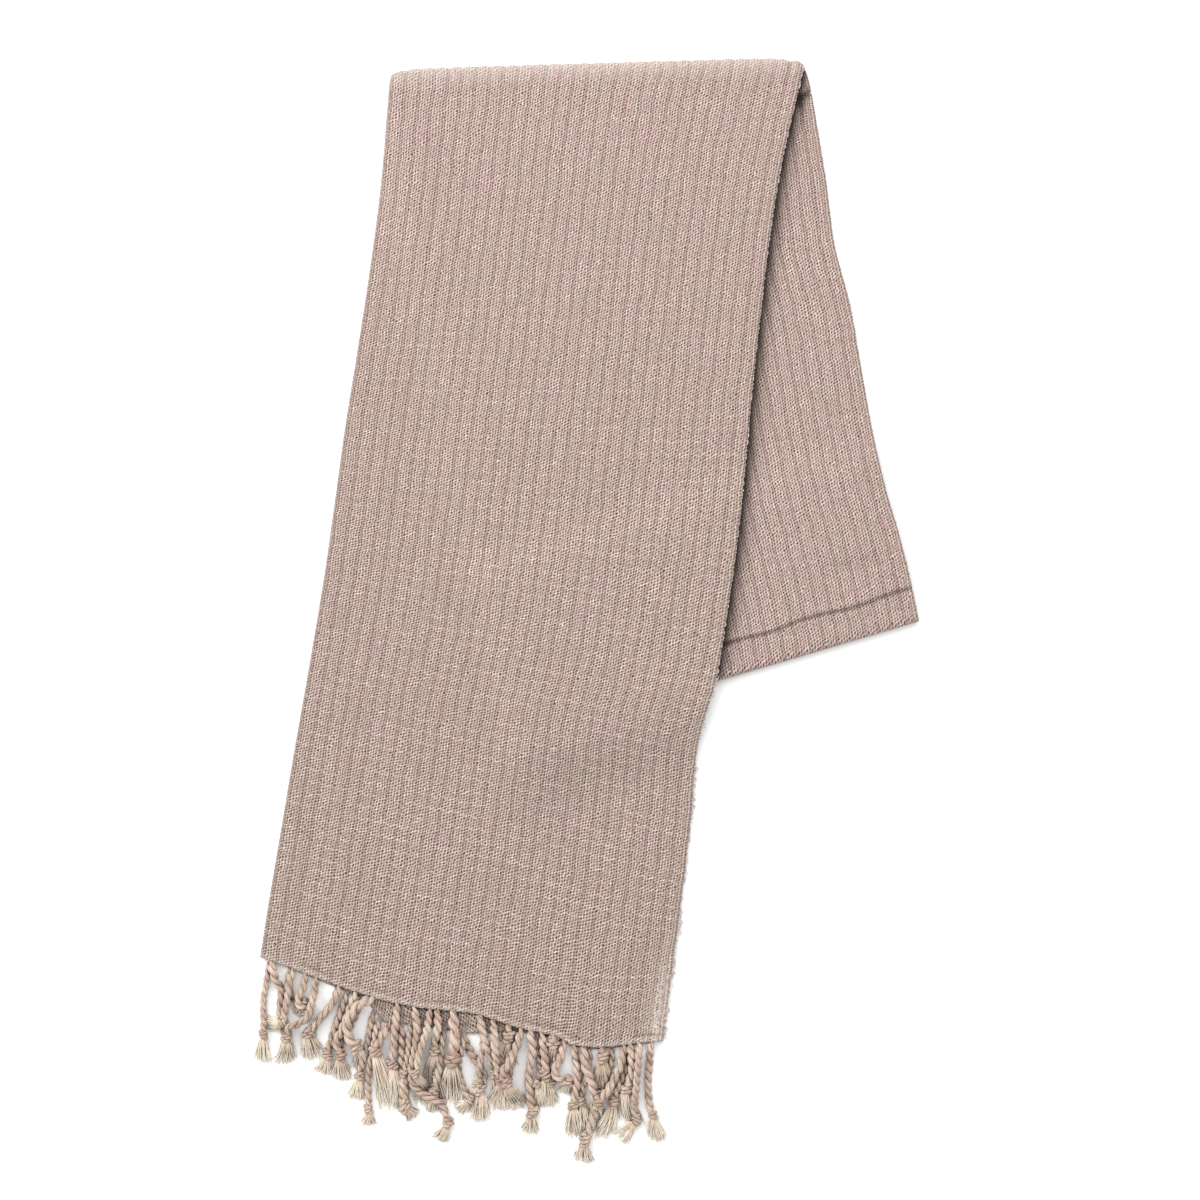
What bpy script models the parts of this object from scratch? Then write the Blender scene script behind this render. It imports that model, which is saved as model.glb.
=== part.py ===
"""A hammam towel, folded in half by its width, folded once more across, and laid flat.

Lengths are metres. X runs to the right, Y away from a viewer who stands at the fringe, and Z up.
The origin is on the floor under the middle of the laid towel.

Folded in half, the towel makes a strip of two layers. A point of it is given by three measures:
`across`, from the folded edge to the selvedges, `along`, from the front hem to the back hem, and
`rise`, from the strip's lower face to its upper one. lay() tells where such a point comes to lie:
the front leg lies on top, the strip turns over at the top fold, the back leg runs under the
front one, and its end is turned under once more.
"""

import math
from itertools import cycle

import bmesh
import bpy
import numpy as np
from mathutils import Vector

# The cloth.
STRIP_WIDTH = 0.251
CLOTH_LENGTH = 0.994
SHEET = 0.0016
LAYER_GAP = 0.0006
STRIP_DEPTH = 2 * SHEET + LAYER_GAP
WEFT_SKEW = 0.016

# How the strip lies on the floor.
FRONT_LENGTH = 0.5803
STRIP_TILT = math.radians(8.1)
FOLD_MIDDLE = np.array((0.0081, 0.3333))
FOLD_TILT = math.radians(1.7)
LEG_GAP = 0.002
TURN_POINT = np.array((0.1397, -0.0231))
TURN_TILT = math.radians(16.5)
TURN_GAP = 0.0006

# The back leg lies raised on its turned-under end and fringe, and comes down past them.
RAISED = STRIP_DEPTH + TURN_GAP
RAISED_LENGTH = 0.092
RAMP_LENGTH = 0.030

# The front leg comes down to the floor beside the back leg and below it.
DROP_START = 0.006
SIDE_DROP = 0.030
END_DROP = 0.045

# The strip is a little shorter at the two corners of the top fold, over a short reach.
FOLDED_CORNER_DRAW = 0.004
FOLDED_CORNER_REACH = 0.006
SELVEDGE_CORNER_DRAW = 0.0085
SELVEDGE_CORNER_REACH = 0.009
CORNER_FADE = 0.040

# Distance from the top fold, and how far the front leg's folded edge and selvedge stray there.
FRONT_EDGE_ROWS = (
    (0.000, -0.0018, -0.0012),
    (0.040, 0.0007, -0.0044),
    (0.090, 0.0031, -0.0053),
    (0.140, 0.0036, -0.0042),
    (0.190, 0.0031, -0.0024),
    (0.240, 0.0022, 0.0000),
    (0.290, 0.0024, 0.0012),
    (0.335, 0.0024, 0.0009),
    (0.362, 0.0018, 0.0000),
    (0.400, 0.0007, -0.0050),
    (0.445, -0.0008, -0.0031),
    (0.490, -0.0019, -0.0018),
    (0.550, -0.0034, -0.0010),
    (0.620, -0.0038, 0.0000),
)

# Distance from the top fold, and how far the back leg's selvedge strays there.
BACK_EDGE_ROWS = (
    (0.000, -0.0012),
    (0.030, 0.0014),
    (0.066, 0.0003),
    (0.105, -0.0016),
    (0.145, -0.0043),
    (0.180, -0.0023),
    (0.220, -0.0033),
    (0.258, -0.0043),
    (0.295, -0.0040),
    (0.333, -0.0010),
    (0.360, 0.0000),
)

# The ribs that run the length of the cloth. A groove lies between each two, and the last one makes
# the last rib a rolled selvedge. The grooves are in the faces that show, and fade out of them over
# a short length round the folds.
RIBS = 29
RIB_PITCH = (STRIP_WIDTH - STRIP_DEPTH / 2) / RIBS
RIB_GROOVE = 0.0005
SELVEDGE_GROOVE = 0.0008
RIB_FADE = 0.020

# Strands to each layer of the fringe, rooted a little wider apart than the ribs are.
STRANDS = 25
STRAND_PITCH = (STRIP_WIDTH - STRIP_DEPTH / 2) / STRANDS

# Number of strands from the folded edge, and how far the upper layer of the front hem, the lower
# layer and the longest tips of the fringe reach past a straight hem there.
HEM_ROWS = (
    (0, 0.0000, 0.0000, 0.066),
    (3, 0.0044, 0.0056, 0.062),
    (5.5, 0.0084, 0.0104, 0.075),
    (6.5, 0.0095, 0.0125, 0.081),
    (8, 0.0108, 0.0245, 0.092),
    (10, 0.0104, 0.0215, 0.087),
    (12.5, 0.0078, 0.0208, 0.090),
    (13.5, 0.0070, 0.0196, 0.080),
    (16, 0.0102, 0.0130, 0.066),
    (18.5, 0.0105, 0.0122, 0.076),
    (19.5, 0.0142, 0.0153, 0.085),
    (21, 0.0125, 0.0138, 0.079),
    (22, 0.0095, 0.0110, 0.071),
    (23.5, 0.0046, 0.0058, 0.066),
    (24.5, 0.0015, 0.0022, 0.066),
    (25, 0.0000, 0.0005, 0.066),
)
HEM_REACH = 0.160

# The mesh of the cloth: faces round the folded edge and across a rib, and rows of faces between
# the fold lines.
EDGE_STEPS = 4
RIB_STEPS = 2
FRONT_ROWS = 20
FOLD_ROWS = 5
BACK_ROWS = 13
END_ROWS = 2

# The fringe: a narrow strip along the hem, and the strands rooted in it. LOWER_ROOT and UPPER_ROOT
# are shares of STRAND_PITCH.
BACKING_GAP = 0.0003
BACKING_WIDTH = 0.004
ROOT_WIDTH = 0.004
LOWER_ROOT = 0.25
UPPER_ROOT = 0.75

# Share of a strand's length, its width there, and its underside and top above the floor:
# cord, knot, neck and loose tuft.
LOWER_STRAND_ROWS = (
    (0.12, 0.0042, 0.0000, 0.0042),
    (0.38, 0.0042, 0.0000, 0.0042),
    (0.62, 0.0042, 0.0000, 0.0042),
    (0.68, 0.0088, 0.0000, 0.0044),
    (0.77, 0.0084, 0.0000, 0.0044),
    (0.83, 0.0052, 0.0000, 0.0036),
    (1.00, 0.0084, 0.0000, 0.0030),
)
UPPER_STRAND_ROWS = (
    (0.12, 0.0042, 0.0048, 0.0088),
    (0.38, 0.0042, 0.0048, 0.0090),
    (0.62, 0.0042, 0.0048, 0.0090),
    (0.68, 0.0088, 0.0048, 0.0102),
    (0.77, 0.0084, 0.0048, 0.0100),
    (0.83, 0.0052, 0.0048, 0.0084),
    (1.00, 0.0084, 0.0048, 0.0080),
)
HIDDEN_STRAND_ROWS = (
    (0.12, 0.0036, 0.0000, 0.0036),
    (0.66, 0.0036, 0.0000, 0.0036),
    (0.76, 0.0043, 0.0000, 0.0038),
    (1.00, 0.0043, 0.0000, 0.0030),
)

# Strand lengths, taken in turn along a hem, as shares of the way to the longest tips or, under
# the back leg, of HIDDEN_LENGTH.
LOWER_SHARES = (1.00, 0.90, 0.96, 0.84, 0.93, 0.88, 1.00)
UPPER_SHARES = (0.82, 0.92, 0.74, 0.88, 0.97, 0.78, 0.86)
HIDDEN_SHARES = (0.97, 0.90, 1.00, 0.94)
HIDDEN_LENGTH = 0.062

# How far the tips lean to one side and the other along the front hem.
LEAN = 0.003
LEAN_WAVES = 1.7
LEAN_START = 0.8

CLOTH_COLOUR = "BDA79F"
FRINGE_COLOUR = "B3A395"


def unit(angle):
    """The unit vector at an angle from X, in the floor's plane."""
    return np.array((math.cos(angle), math.sin(angle)))


ACROSS = unit(-STRIP_TILT)
ALONG = unit(math.pi / 2 - STRIP_TILT)
FOLD_LINE = unit(FOLD_TILT)
FOLD_OUT = unit(math.pi / 2 + FOLD_TILT)
TURN_OUT = unit(TURN_TILT - math.pi / 2)
BACK_LEG = unit(2 * FOLD_TILT + STRIP_TILT - math.pi / 2)
BACK_LEG_SIDE = unit(2 * FOLD_TILT + STRIP_TILT - math.pi)


def arc(gap):
    """Length of the strip's middle round a fold that leaves a gap between its legs."""
    return math.pi * (gap + STRIP_DEPTH) / 2


def ease(share):
    """A smooth step from 0 to 1."""
    share = np.clip(share, 0.0, 1.0)
    return share * share * (3.0 - 2.0 * share)


def read_curve(at, stations, values):
    """A smooth curve through the rows of a table."""
    stations = np.asarray(stations)
    values = np.asarray(values)
    slopes = np.gradient(values, stations)
    at = np.clip(at, stations[0], stations[-1])
    row = np.clip(np.searchsorted(stations, at) - 1, 0, len(stations) - 2)
    span = stations[row + 1] - stations[row]
    part = (at - stations[row]) / span
    back = 1.0 - part
    start = values[row] * (1.0 + 2.0 * part) * back ** 2 + slopes[row] * span * part * back ** 2
    end = values[row + 1] * (3.0 - 2.0 * part) * part ** 2 - slopes[row + 1] * span * back * part ** 2
    return start + end


def over_fold(past, rise, gap):
    """How far out and how high the strip is when a point of it is `past` the start of a fold.

    rise is taken from the strip's inner face, and the height from that face before the fold.
    """
    inner = gap / 2
    turn = np.clip(past / (inner + STRIP_DEPTH / 2), 0.0, math.pi)
    reach = np.minimum(past, 0.0) + (inner + rise) * np.sin(turn) - np.maximum(past - arc(gap), 0.0)
    height = (inner + rise) * np.cos(turn) - inner
    return reach, height


def back_floor(turn_past):
    """Height of the back leg's underside, by the distance past the line where its end turns."""
    return RAISED * (1.0 - ease((-turn_past - RAISED_LENGTH) / RAMP_LENGTH))


def front_floor(plan, turn_past):
    """Height of the front leg's underside: over the back leg, and down to the floor outside it."""
    corner = FOLD_MIDDLE - ACROSS * STRIP_WIDTH / 2
    beside = (plan - corner) @ BACK_LEG_SIDE - DROP_START
    below = turn_past - STRIP_DEPTH - DROP_START
    held = (1.0 - ease(beside / SIDE_DROP)) * (1.0 - ease(below / END_DROP))
    return (back_floor(turn_past) + STRIP_DEPTH + LEG_GAP) * held


def edge_stray(share, down):
    """How far the edges' slow waves move a point across; down is negative on the back leg."""
    stations, folded, selvedge = np.transpose(FRONT_EDGE_ROWS)
    front = read_curve(down, stations, folded) * (1.0 - share) + read_curve(down, stations, selvedge) * share
    stations, selvedge = np.transpose(BACK_EDGE_ROWS)
    return np.where(down > 0.0, front, read_curve(-down, stations, selvedge) * share)


def corner_draw(across, run):
    """How much shorter the strip is by the corners of the top fold; run is the way past the fold."""
    folded = FOLDED_CORNER_DRAW * np.exp(-across / FOLDED_CORNER_REACH)
    selvedge = SELVEDGE_CORNER_DRAW * np.exp((across - STRIP_WIDTH) / SELVEDGE_CORNER_REACH)
    return (folded + selvedge) * np.exp(-np.maximum(run, 0.0) / CORNER_FADE)


def rib_place(number):
    """How far across the strip a rib begins; the first one begins where the folded edge ends."""
    return STRIP_DEPTH / 2 + number * RIB_PITCH


def strand_place(number):
    """How far across the strip a strand's share of the hem begins."""
    return STRIP_DEPTH / 2 + number * STRAND_PITCH


def hem_reach(across, along, rise):
    """How far past a straight hem a point near the front hem lies."""
    numbers, upper, lower, _ = np.transpose(HEM_ROWS)
    places = strand_place(numbers)
    on_upper = rise > STRIP_DEPTH / 2
    reach = np.where(on_upper, np.interp(across, places, upper), np.interp(across, places, lower))
    return reach * np.clip(1.0 - np.maximum(along, 0.0) / HEM_REACH, 0.0, 1.0) ** 2


def lay(across, along, rise):
    """Where points of the folded strip come to lie, as rows of X, Y and Z."""
    share = across / STRIP_WIDTH
    run = along - FRONT_LENGTH - WEFT_SKEW * (share - 0.5) - hem_reach(across, along, rise)
    side = across - STRIP_WIDTH / 2 + edge_stray(share, -run)
    flat = side[:, None] * ACROSS + run[:, None] * ALONG
    draw = corner_draw(across, run)
    past = flat @ FOLD_OUT + draw
    reach, height = over_fold(past, rise, LEG_GAP)
    plan = FOLD_MIDDLE + (flat @ FOLD_LINE)[:, None] * FOLD_LINE + (reach - draw)[:, None] * FOLD_OUT
    turn_past = (plan - TURN_POINT) @ TURN_OUT
    under_reach, under_height = over_fold(turn_past, STRIP_DEPTH - rise, TURN_GAP)
    on_back = past > arc(LEG_GAP)
    on_front = past < 0.0
    plan = plan + np.where(on_back, under_reach - turn_past, 0.0)[:, None] * TURN_OUT
    z = STRIP_DEPTH + LEG_GAP + height
    z = np.where(on_front, front_floor(plan, turn_past) + rise, z)
    z = np.where(on_back, back_floor(turn_past) + under_height, z)
    return np.column_stack((plan, z))


def hem_line(along):
    """A line parallel to the hems, as its `along` at the folded edge and at the selvedge."""
    return along, along


def line_at(line, across):
    """The `along` of a line where it crosses a place across the strip."""
    start, end = line
    return start + (end - start) * across / STRIP_WIDTH


def fold_line(past):
    """The line that lies `past` the start of the top fold, given as hem_line gives one."""
    ends = []
    for share in (0.0, 1.0):
        run = (past - (share - 0.5) * STRIP_WIDTH * (ACROSS @ FOLD_OUT)) / (ALONG @ FOLD_OUT)
        ends.append(run + FRONT_LENGTH + WEFT_SKEW * (share - 0.5))
    return tuple(ends)


def turn_line(past):
    """The line that lies `past` the line where the back leg's end turns under."""
    back_across = unit(2 * FOLD_TILT + STRIP_TILT)
    ends = []
    for share in (0.0, 1.0):
        start = FOLD_MIDDLE + FOLD_OUT * arc(LEG_GAP) + (share - 0.5) * STRIP_WIDTH * back_across
        run = (past - (start - TURN_POINT) @ TURN_OUT) / (BACK_LEG @ TURN_OUT)
        ends.append(run + FRONT_LENGTH + WEFT_SKEW * (share - 0.5))
    return tuple(ends)


def cloth_rows():
    """The cloth's rows of points, each as its `along` at the folded edge and at the selvedge."""
    guides = (
        (hem_line(0.0), FRONT_ROWS),
        (fold_line(0.0), FOLD_ROWS),
        (fold_line(arc(LEG_GAP)), BACK_ROWS),
        (turn_line(0.0), FOLD_ROWS),
        (turn_line(arc(TURN_GAP)), END_ROWS),
        (hem_line(CLOTH_LENGTH), 0),
    )
    rows = []
    for (start, steps), (end, _) in zip(guides, guides[1:]):
        for step in range(steps):
            part = step / steps
            rows.append((start[0] + (end[0] - start[0]) * part, start[1] + (end[1] - start[1]) * part))
    rows.append(guides[-1][0])
    return rows


def section(upper, lower):
    """The folded strip's section, as pairs of an outer and an inner point (across, rise).

    upper and lower are the places of the columns of each layer, from the folded edge outwards.
    """
    middle = STRIP_DEPTH / 2
    pairs = []
    for across in reversed(upper):
        pairs.append(((across, STRIP_DEPTH), (across, STRIP_DEPTH - SHEET)))
    for step in range(1, EDGE_STEPS):
        turn = math.pi * step / EDGE_STEPS
        out = -math.sin(turn)
        up = math.cos(turn)
        outer = (middle + middle * out, middle + middle * up)
        inner = (middle + LAYER_GAP / 2 * out, middle + LAYER_GAP / 2 * up)
        pairs.append((outer, inner))
    for across in lower:
        pairs.append(((across, 0.0), (across, SHEET)))
    return pairs


def folded_sheet(pairs, rows):
    """A mesh of the section carried along the rows, its points given as across, along, rise."""
    columns = len(pairs) - 1
    steps = len(rows) - 1
    bm = bmesh.new()
    bmesh.ops.create_grid(bm, x_segments=columns, y_segments=steps, size=0.5)
    inner = bmesh.ops.extrude_face_region(bm, geom=bm.faces[:])
    inner = {item for item in inner["geom"] if isinstance(item, bmesh.types.BMVert)}
    for vert in bm.verts:
        pair = pairs[round((vert.co.x + 0.5) * columns)]
        row = rows[round((vert.co.y + 0.5) * steps)]
        across, rise = pair[1] if vert in inner else pair[0]
        vert.co = (across, line_at(row, across), rise)
    return bm


def finish_object(name, bm, material):
    """Lays the mesh on the floor and makes it an object."""
    laid = lay(*np.array([vert.co for vert in bm.verts]).T)
    for vert, place in zip(bm.verts, laid):
        vert.co = place
    bmesh.ops.triangulate(bm, faces=bm.faces[:], quad_method="SHORT_EDGE")
    bmesh.ops.recalc_face_normals(bm, faces=bm.faces[:])
    mesh = bpy.data.meshes.new(name)
    bm.to_mesh(mesh)
    bm.free()
    mesh.materials.append(material)
    mesh.shade_smooth()
    made = bpy.data.objects.new(name, mesh)
    bpy.context.scene.collection.objects.link(made)
    return made


def groove_depth(across):
    """Depth of the groove at a place across the strip: none on the ribs and at the strip's edges."""
    number = (across - rib_place(0)) / RIB_PITCH
    nearest = round(number)
    if not 0 < nearest < RIBS:
        return 0.0
    deepest = SELVEDGE_GROOVE if nearest == RIBS - 1 else RIB_GROOVE
    return deepest * max(0.0, 1.0 - RIB_STEPS * abs(number - nearest))


def press_grooves(bm):
    """Presses the grooves into the outer faces: the upper one in front, the lower one behind."""
    fold = fold_line(0.0)
    turn = turn_line(-RIB_FADE)
    for vert in bm.verts:
        across, along, rise = vert.co
        behind = ease((along - line_at(fold, across)) / RIB_FADE)
        before_turn = 1.0 - ease((along - line_at(turn, across)) / RIB_FADE)
        if rise > STRIP_DEPTH - SHEET / 2:
            vert.co.z -= groove_depth(across) * (1.0 - behind)
        elif rise < SHEET / 2:
            vert.co.z += groove_depth(across) * behind * before_turn


def hem_bends():
    """The places across the strip where the front hem bends."""
    return [strand_place(number) for number, *_ in HEM_ROWS]


def cloth_columns():
    """The cloth's columns: the grooves and the ribs' middles, each bend of the hem on the nearest."""
    columns = [rib_place(step / RIB_STEPS) for step in range(RIBS * RIB_STEPS + 1)]
    for bend in hem_bends():
        nearest = min(range(len(columns)), key=lambda index: abs(columns[index] - bend))
        columns[nearest] = bend
    return columns


def make_cloth(material):
    """The cloth, one sheet folded in half, folded over and turned under."""
    columns = cloth_columns()
    bm = folded_sheet(section(columns, columns), cloth_rows())
    press_grooves(bm)
    return finish_object("towel_cloth", bm, material)


def root_places(offset):
    """The middles of one layer's strands across the strip."""
    return [strand_place(number + offset) for number in range(STRANDS)]


def backing_columns(roots):
    """The bends of the hem and the two sides of every root, in order."""
    sides = [middle + half for middle in roots for half in (-ROOT_WIDTH / 2, ROOT_WIDTH / 2)]
    return sorted(hem_bends() + sides)


def grow_strand(bm, root, rows, length, outward, lean):
    """Extrudes one strand from its root face in the backing; its sides stay sides all the way."""
    centre = root.calc_center_median()
    face = root
    for share, width, low, high in rows:
        face = bmesh.ops.extrude_discrete_faces(bm, faces=[face])["faces"][0]
        middle = face.calc_center_median()
        for vert in face.verts:
            side = math.copysign(width / 2, vert.co.x - middle.x)
            rise = high if vert.co.z > middle.z else low
            vert.co = (centre.x + lean * share ** 2 + side, centre.y + outward * length * share, rise)


def nearest_face(bm, place):
    """The face whose middle is nearest to a place."""
    return min(bm.faces, key=lambda face: (face.calc_center_median() - Vector(place)).length)


def front_lengths(offset, shares, upper):
    """The lengths of one layer's strands at the front hem."""
    numbers, upper_reach, lower_reach, tips = np.transpose(HEM_ROWS)
    ways = tips - (upper_reach if upper else lower_reach) - BACKING_WIDTH
    longest = np.interp(root_places(offset), strand_place(numbers), ways)
    return [way * share for way, share in zip(longest, cycle(shares))]


def hidden_lengths():
    """The lengths of one layer's strands at the turned-under hem."""
    return [HIDDEN_LENGTH * share for _, share in zip(range(STRANDS), cycle(HIDDEN_SHARES))]


def make_fringe(name, material, start, outward, upper, lower):
    """One hem's fringe. upper and lower are each layer's strand rows and its strands' lengths."""
    upper_roots = root_places(UPPER_ROOT)
    lower_roots = root_places(LOWER_ROOT)
    pairs = section(backing_columns(upper_roots), backing_columns(lower_roots))
    near = start + outward * BACKING_GAP
    far = near + outward * BACKING_WIDTH
    rows = (hem_line(min(near, far)), hem_line(max(near, far)))
    bm = folded_sheet(pairs, rows)
    planned = []
    for roots, (strand_rows, lengths), rise in (
        (upper_roots, upper, STRIP_DEPTH - SHEET / 2),
        (lower_roots, lower, SHEET / 2),
    ):
        for number, middle in enumerate(roots):
            root = nearest_face(bm, (middle, far, rise))
            lean = LEAN * math.sin(2 * math.pi * LEAN_WAVES * middle / STRIP_WIDTH + LEAN_START)
            planned.append((root, strand_rows, lengths[number], lean))
    for root, strand_rows, length, lean in planned:
        grow_strand(bm, root, strand_rows, length, outward, lean)
    return finish_object(name, bm, material)


def linear(hex_colour):
    """A Blender colour from sRGB hex digits."""
    parts = [int(hex_colour[place:place + 2], 16) / 255 for place in (0, 2, 4)]
    return [part / 12.92 if part <= 0.04045 else ((part + 0.055) / 1.055) ** 2.4 for part in parts] + [1.0]


def make_material(name, hex_colour, roughness):
    """A plain Principled material."""
    material = bpy.data.materials.new(name)
    material.use_nodes = True
    shader = material.node_tree.nodes["Principled BSDF"]
    shader.inputs["Base Color"].default_value = linear(hex_colour)
    shader.inputs["Roughness"].default_value = roughness
    shader.inputs["Metallic"].default_value = 0.0
    return material


def main():
    for old in list(bpy.data.objects):
        bpy.data.objects.remove(old, do_unlink=True)
    towel = bpy.data.objects.new("towel", None)
    bpy.context.scene.collection.objects.link(towel)
    cloth_material = make_material("cotton_cloth", CLOTH_COLOUR, 0.92)
    fringe_material = make_material("cotton_fringe", FRINGE_COLOUR, 0.95)
    upper = (UPPER_STRAND_ROWS, front_lengths(UPPER_ROOT, UPPER_SHARES, True))
    lower = (LOWER_STRAND_ROWS, front_lengths(LOWER_ROOT, LOWER_SHARES, False))
    hidden = (HIDDEN_STRAND_ROWS, hidden_lengths())
    pieces = (
        make_cloth(cloth_material),
        make_fringe("front_fringe", fringe_material, 0.0, -1, upper, lower),
        make_fringe("back_fringe", fringe_material, CLOTH_LENGTH, 1, hidden, hidden),
    )
    for piece in pieces:
        piece.parent = towel


main()
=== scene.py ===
"""The finish of a folded hammam towel: woven cloth, knotted fringe and a plain studio.

Lengths are metres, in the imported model's frame: X to the right, Y away from a viewer who stands at
the fringe, and Z up. As in the model, a point of the towel is given as `across`, from the folded
edge to the selvedges, `along`, from the front hem to the back hem, and `rise`, from the lower face
of the folded strip to its upper one, and lay() tells where such a point comes to lie.
"""

import math

import bmesh
import bpy
import numpy as np
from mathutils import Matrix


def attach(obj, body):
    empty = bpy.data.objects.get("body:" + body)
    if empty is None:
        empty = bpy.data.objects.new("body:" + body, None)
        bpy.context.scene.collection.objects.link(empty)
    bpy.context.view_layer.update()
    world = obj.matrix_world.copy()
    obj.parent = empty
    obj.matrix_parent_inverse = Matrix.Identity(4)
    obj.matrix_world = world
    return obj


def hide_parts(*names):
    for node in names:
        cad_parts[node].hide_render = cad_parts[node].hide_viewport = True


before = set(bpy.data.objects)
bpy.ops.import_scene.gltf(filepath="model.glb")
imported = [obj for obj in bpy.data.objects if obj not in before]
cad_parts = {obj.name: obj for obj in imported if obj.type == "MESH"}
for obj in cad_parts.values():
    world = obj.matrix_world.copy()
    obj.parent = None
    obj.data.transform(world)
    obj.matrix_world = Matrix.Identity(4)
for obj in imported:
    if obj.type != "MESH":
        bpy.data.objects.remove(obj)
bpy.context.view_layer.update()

bl_info = {
    "name": "Hammam towel",
    "version": (1, 0, 0),
    "blender": (4, 5, 0),
    "location": "3D View > Sidebar > Towel",
    "description": "Weaves and ties a folded hammam towel and lays it in a plain studio",
    "category": "Object",
}

MM = 0.001

# ------------------------------------------------------------------ the strip, as it is laid

STRIP_WIDTH = 0.251
CLOTH_LENGTH = 0.994
SHEET = 0.0016
LAYER_GAP = 0.0006
STRIP_DEPTH = 2 * SHEET + LAYER_GAP
WEFT_SKEW = 0.016

FRONT_LENGTH = 0.5803
STRIP_TILT = math.radians(8.1)
FOLD_MIDDLE = np.array((0.0081, 0.3333))
FOLD_TILT = math.radians(1.7)
LEG_GAP = 0.002
TURN_POINT = np.array((0.1397, -0.0231))
TURN_TILT = math.radians(16.5)
TURN_GAP = 0.0006

RAISED = STRIP_DEPTH + TURN_GAP
RAISED_LENGTH = 0.092
RAMP_LENGTH = 0.030
DROP_START = 0.006
SIDE_DROP = 0.030
END_DROP = 0.045

FOLDED_CORNER_DRAW = 0.004
FOLDED_CORNER_REACH = 0.006
SELVEDGE_CORNER_DRAW = 0.0085
SELVEDGE_CORNER_REACH = 0.009
CORNER_FADE = 0.040

# Distance from the top fold, and how far the front leg's folded edge and selvedge stray there.
FRONT_EDGE_ROWS = (
    (0.000, -0.0018, -0.0012),
    (0.040, 0.0007, -0.0044),
    (0.090, 0.0031, -0.0053),
    (0.140, 0.0036, -0.0042),
    (0.190, 0.0031, -0.0024),
    (0.240, 0.0022, 0.0000),
    (0.290, 0.0024, 0.0012),
    (0.335, 0.0024, 0.0009),
    (0.362, 0.0018, 0.0000),
    (0.400, 0.0007, -0.0050),
    (0.445, -0.0008, -0.0031),
    (0.490, -0.0019, -0.0018),
    (0.550, -0.0034, -0.0010),
    (0.620, -0.0038, 0.0000),
)

# Distance from the top fold, and how far the back leg's selvedge strays there.
BACK_EDGE_ROWS = (
    (0.000, -0.0012),
    (0.030, 0.0014),
    (0.066, 0.0003),
    (0.105, -0.0016),
    (0.145, -0.0043),
    (0.180, -0.0023),
    (0.220, -0.0033),
    (0.258, -0.0043),
    (0.295, -0.0040),
    (0.333, -0.0010),
    (0.360, 0.0000),
)

# Ribs run the length of the cloth. The fringe has STRANDS strands to each layer, a little wider
# apart than the ribs are.
RIBS = 29
RIB_PITCH = (STRIP_WIDTH - STRIP_DEPTH / 2) / RIBS
STRANDS = 25
STRAND_PITCH = (STRIP_WIDTH - STRIP_DEPTH / 2) / STRANDS

# Number of strands from the folded edge, and how far the upper and the lower layer of the front hem
# reach past a straight hem there.
HEM_ROWS = (
    (0, 0.0000, 0.0000),
    (3, 0.0044, 0.0056),
    (5.5, 0.0084, 0.0104),
    (6.5, 0.0095, 0.0125),
    (8, 0.0108, 0.0245),
    (10, 0.0104, 0.0215),
    (12.5, 0.0078, 0.0208),
    (13.5, 0.0070, 0.0196),
    (16, 0.0102, 0.0130),
    (18.5, 0.0105, 0.0122),
    (19.5, 0.0142, 0.0153),
    (21, 0.0125, 0.0138),
    (22, 0.0095, 0.0110),
    (23.5, 0.0046, 0.0058),
    (24.5, 0.0015, 0.0022),
    (25, 0.0000, 0.0005),
)
HEM_REACH = 0.160

# ------------------------------------------------------------------ the cloth's relief

# Columns of points in a rib, as shares of its pitch: its groove, its two shoulders and its crown.
RIB_COLUMNS = (0.0, 0.19, 0.5, 0.81)

# Faces round the folded edge, and rows of faces between guide lines. The rows are closer at the
# hem, at the top fold's right corner, and where the back leg is creased, CREASE_PLACE before the
# line where its end turns under.
EDGE_STEPS = 8
HEM_BAND = 0.0045
HEM_BAND_ROWS = 4
FRONT_ROWS = 99
FOLD_ROWS = 8
CORNER_BAND = 0.020
CORNER_ROWS = 16
BACK_ROWS = 55
CREASE_PLACE = 0.0165
CREASE_BAND = 0.0035
CREASE_ROWS = 7
BAND_ROWS = 4
TURN_ROWS = 6
END_ROWS = 5

# How far the ribs' crowns stand above the model's face and the grooves lie below it.
RIB_CROWN = 0.00014
RIB_GROOVE = 0.0002
RIB_FULLNESS = 1.4
FOLD_RELIEF = 2.0
FOLD_RELIEF_FADE = 0.012

# Groove number and how many times deeper it is than the common one.
DEEP_GROOVES = ((1, 1.3), (2, 1.5), (3, 1.3), (4, 1.9), (5, 1.3), (28, 2.0))
SELVEDGE_ROLL = 0.0005
HEM_LIP = 0.0008
HEM_LIP_REACH = 0.0025
HEM_LIP_WAVE = 0.6

# How far from the top fold and from the turned end's line the relief of a leg reaches its full height.
FOLD_FADE = 0.020
TURN_FADE = 0.006

# Soft troughs and ridges of the upper layer in front: from X, Y to X, Y, half the width, height.
FRONT_CREASES = (
    (-0.164, -0.106, -0.181, -0.215, 0.008, -0.0005),
    (-0.150, -0.100, -0.166, -0.214, 0.010, 0.0007),
    (-0.176, -0.110, -0.190, -0.215, 0.006, 0.0005),
    (-0.098, 0.320, -0.110, 0.180, 0.012, 0.0006),
    (0.020, 0.240, -0.040, -0.140, 0.030, 0.0008),
    (-0.060, 0.140, -0.110, -0.060, 0.025, 0.0006),
    (0.055, -0.060, 0.035, -0.230, 0.022, 0.0007),
)

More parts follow.
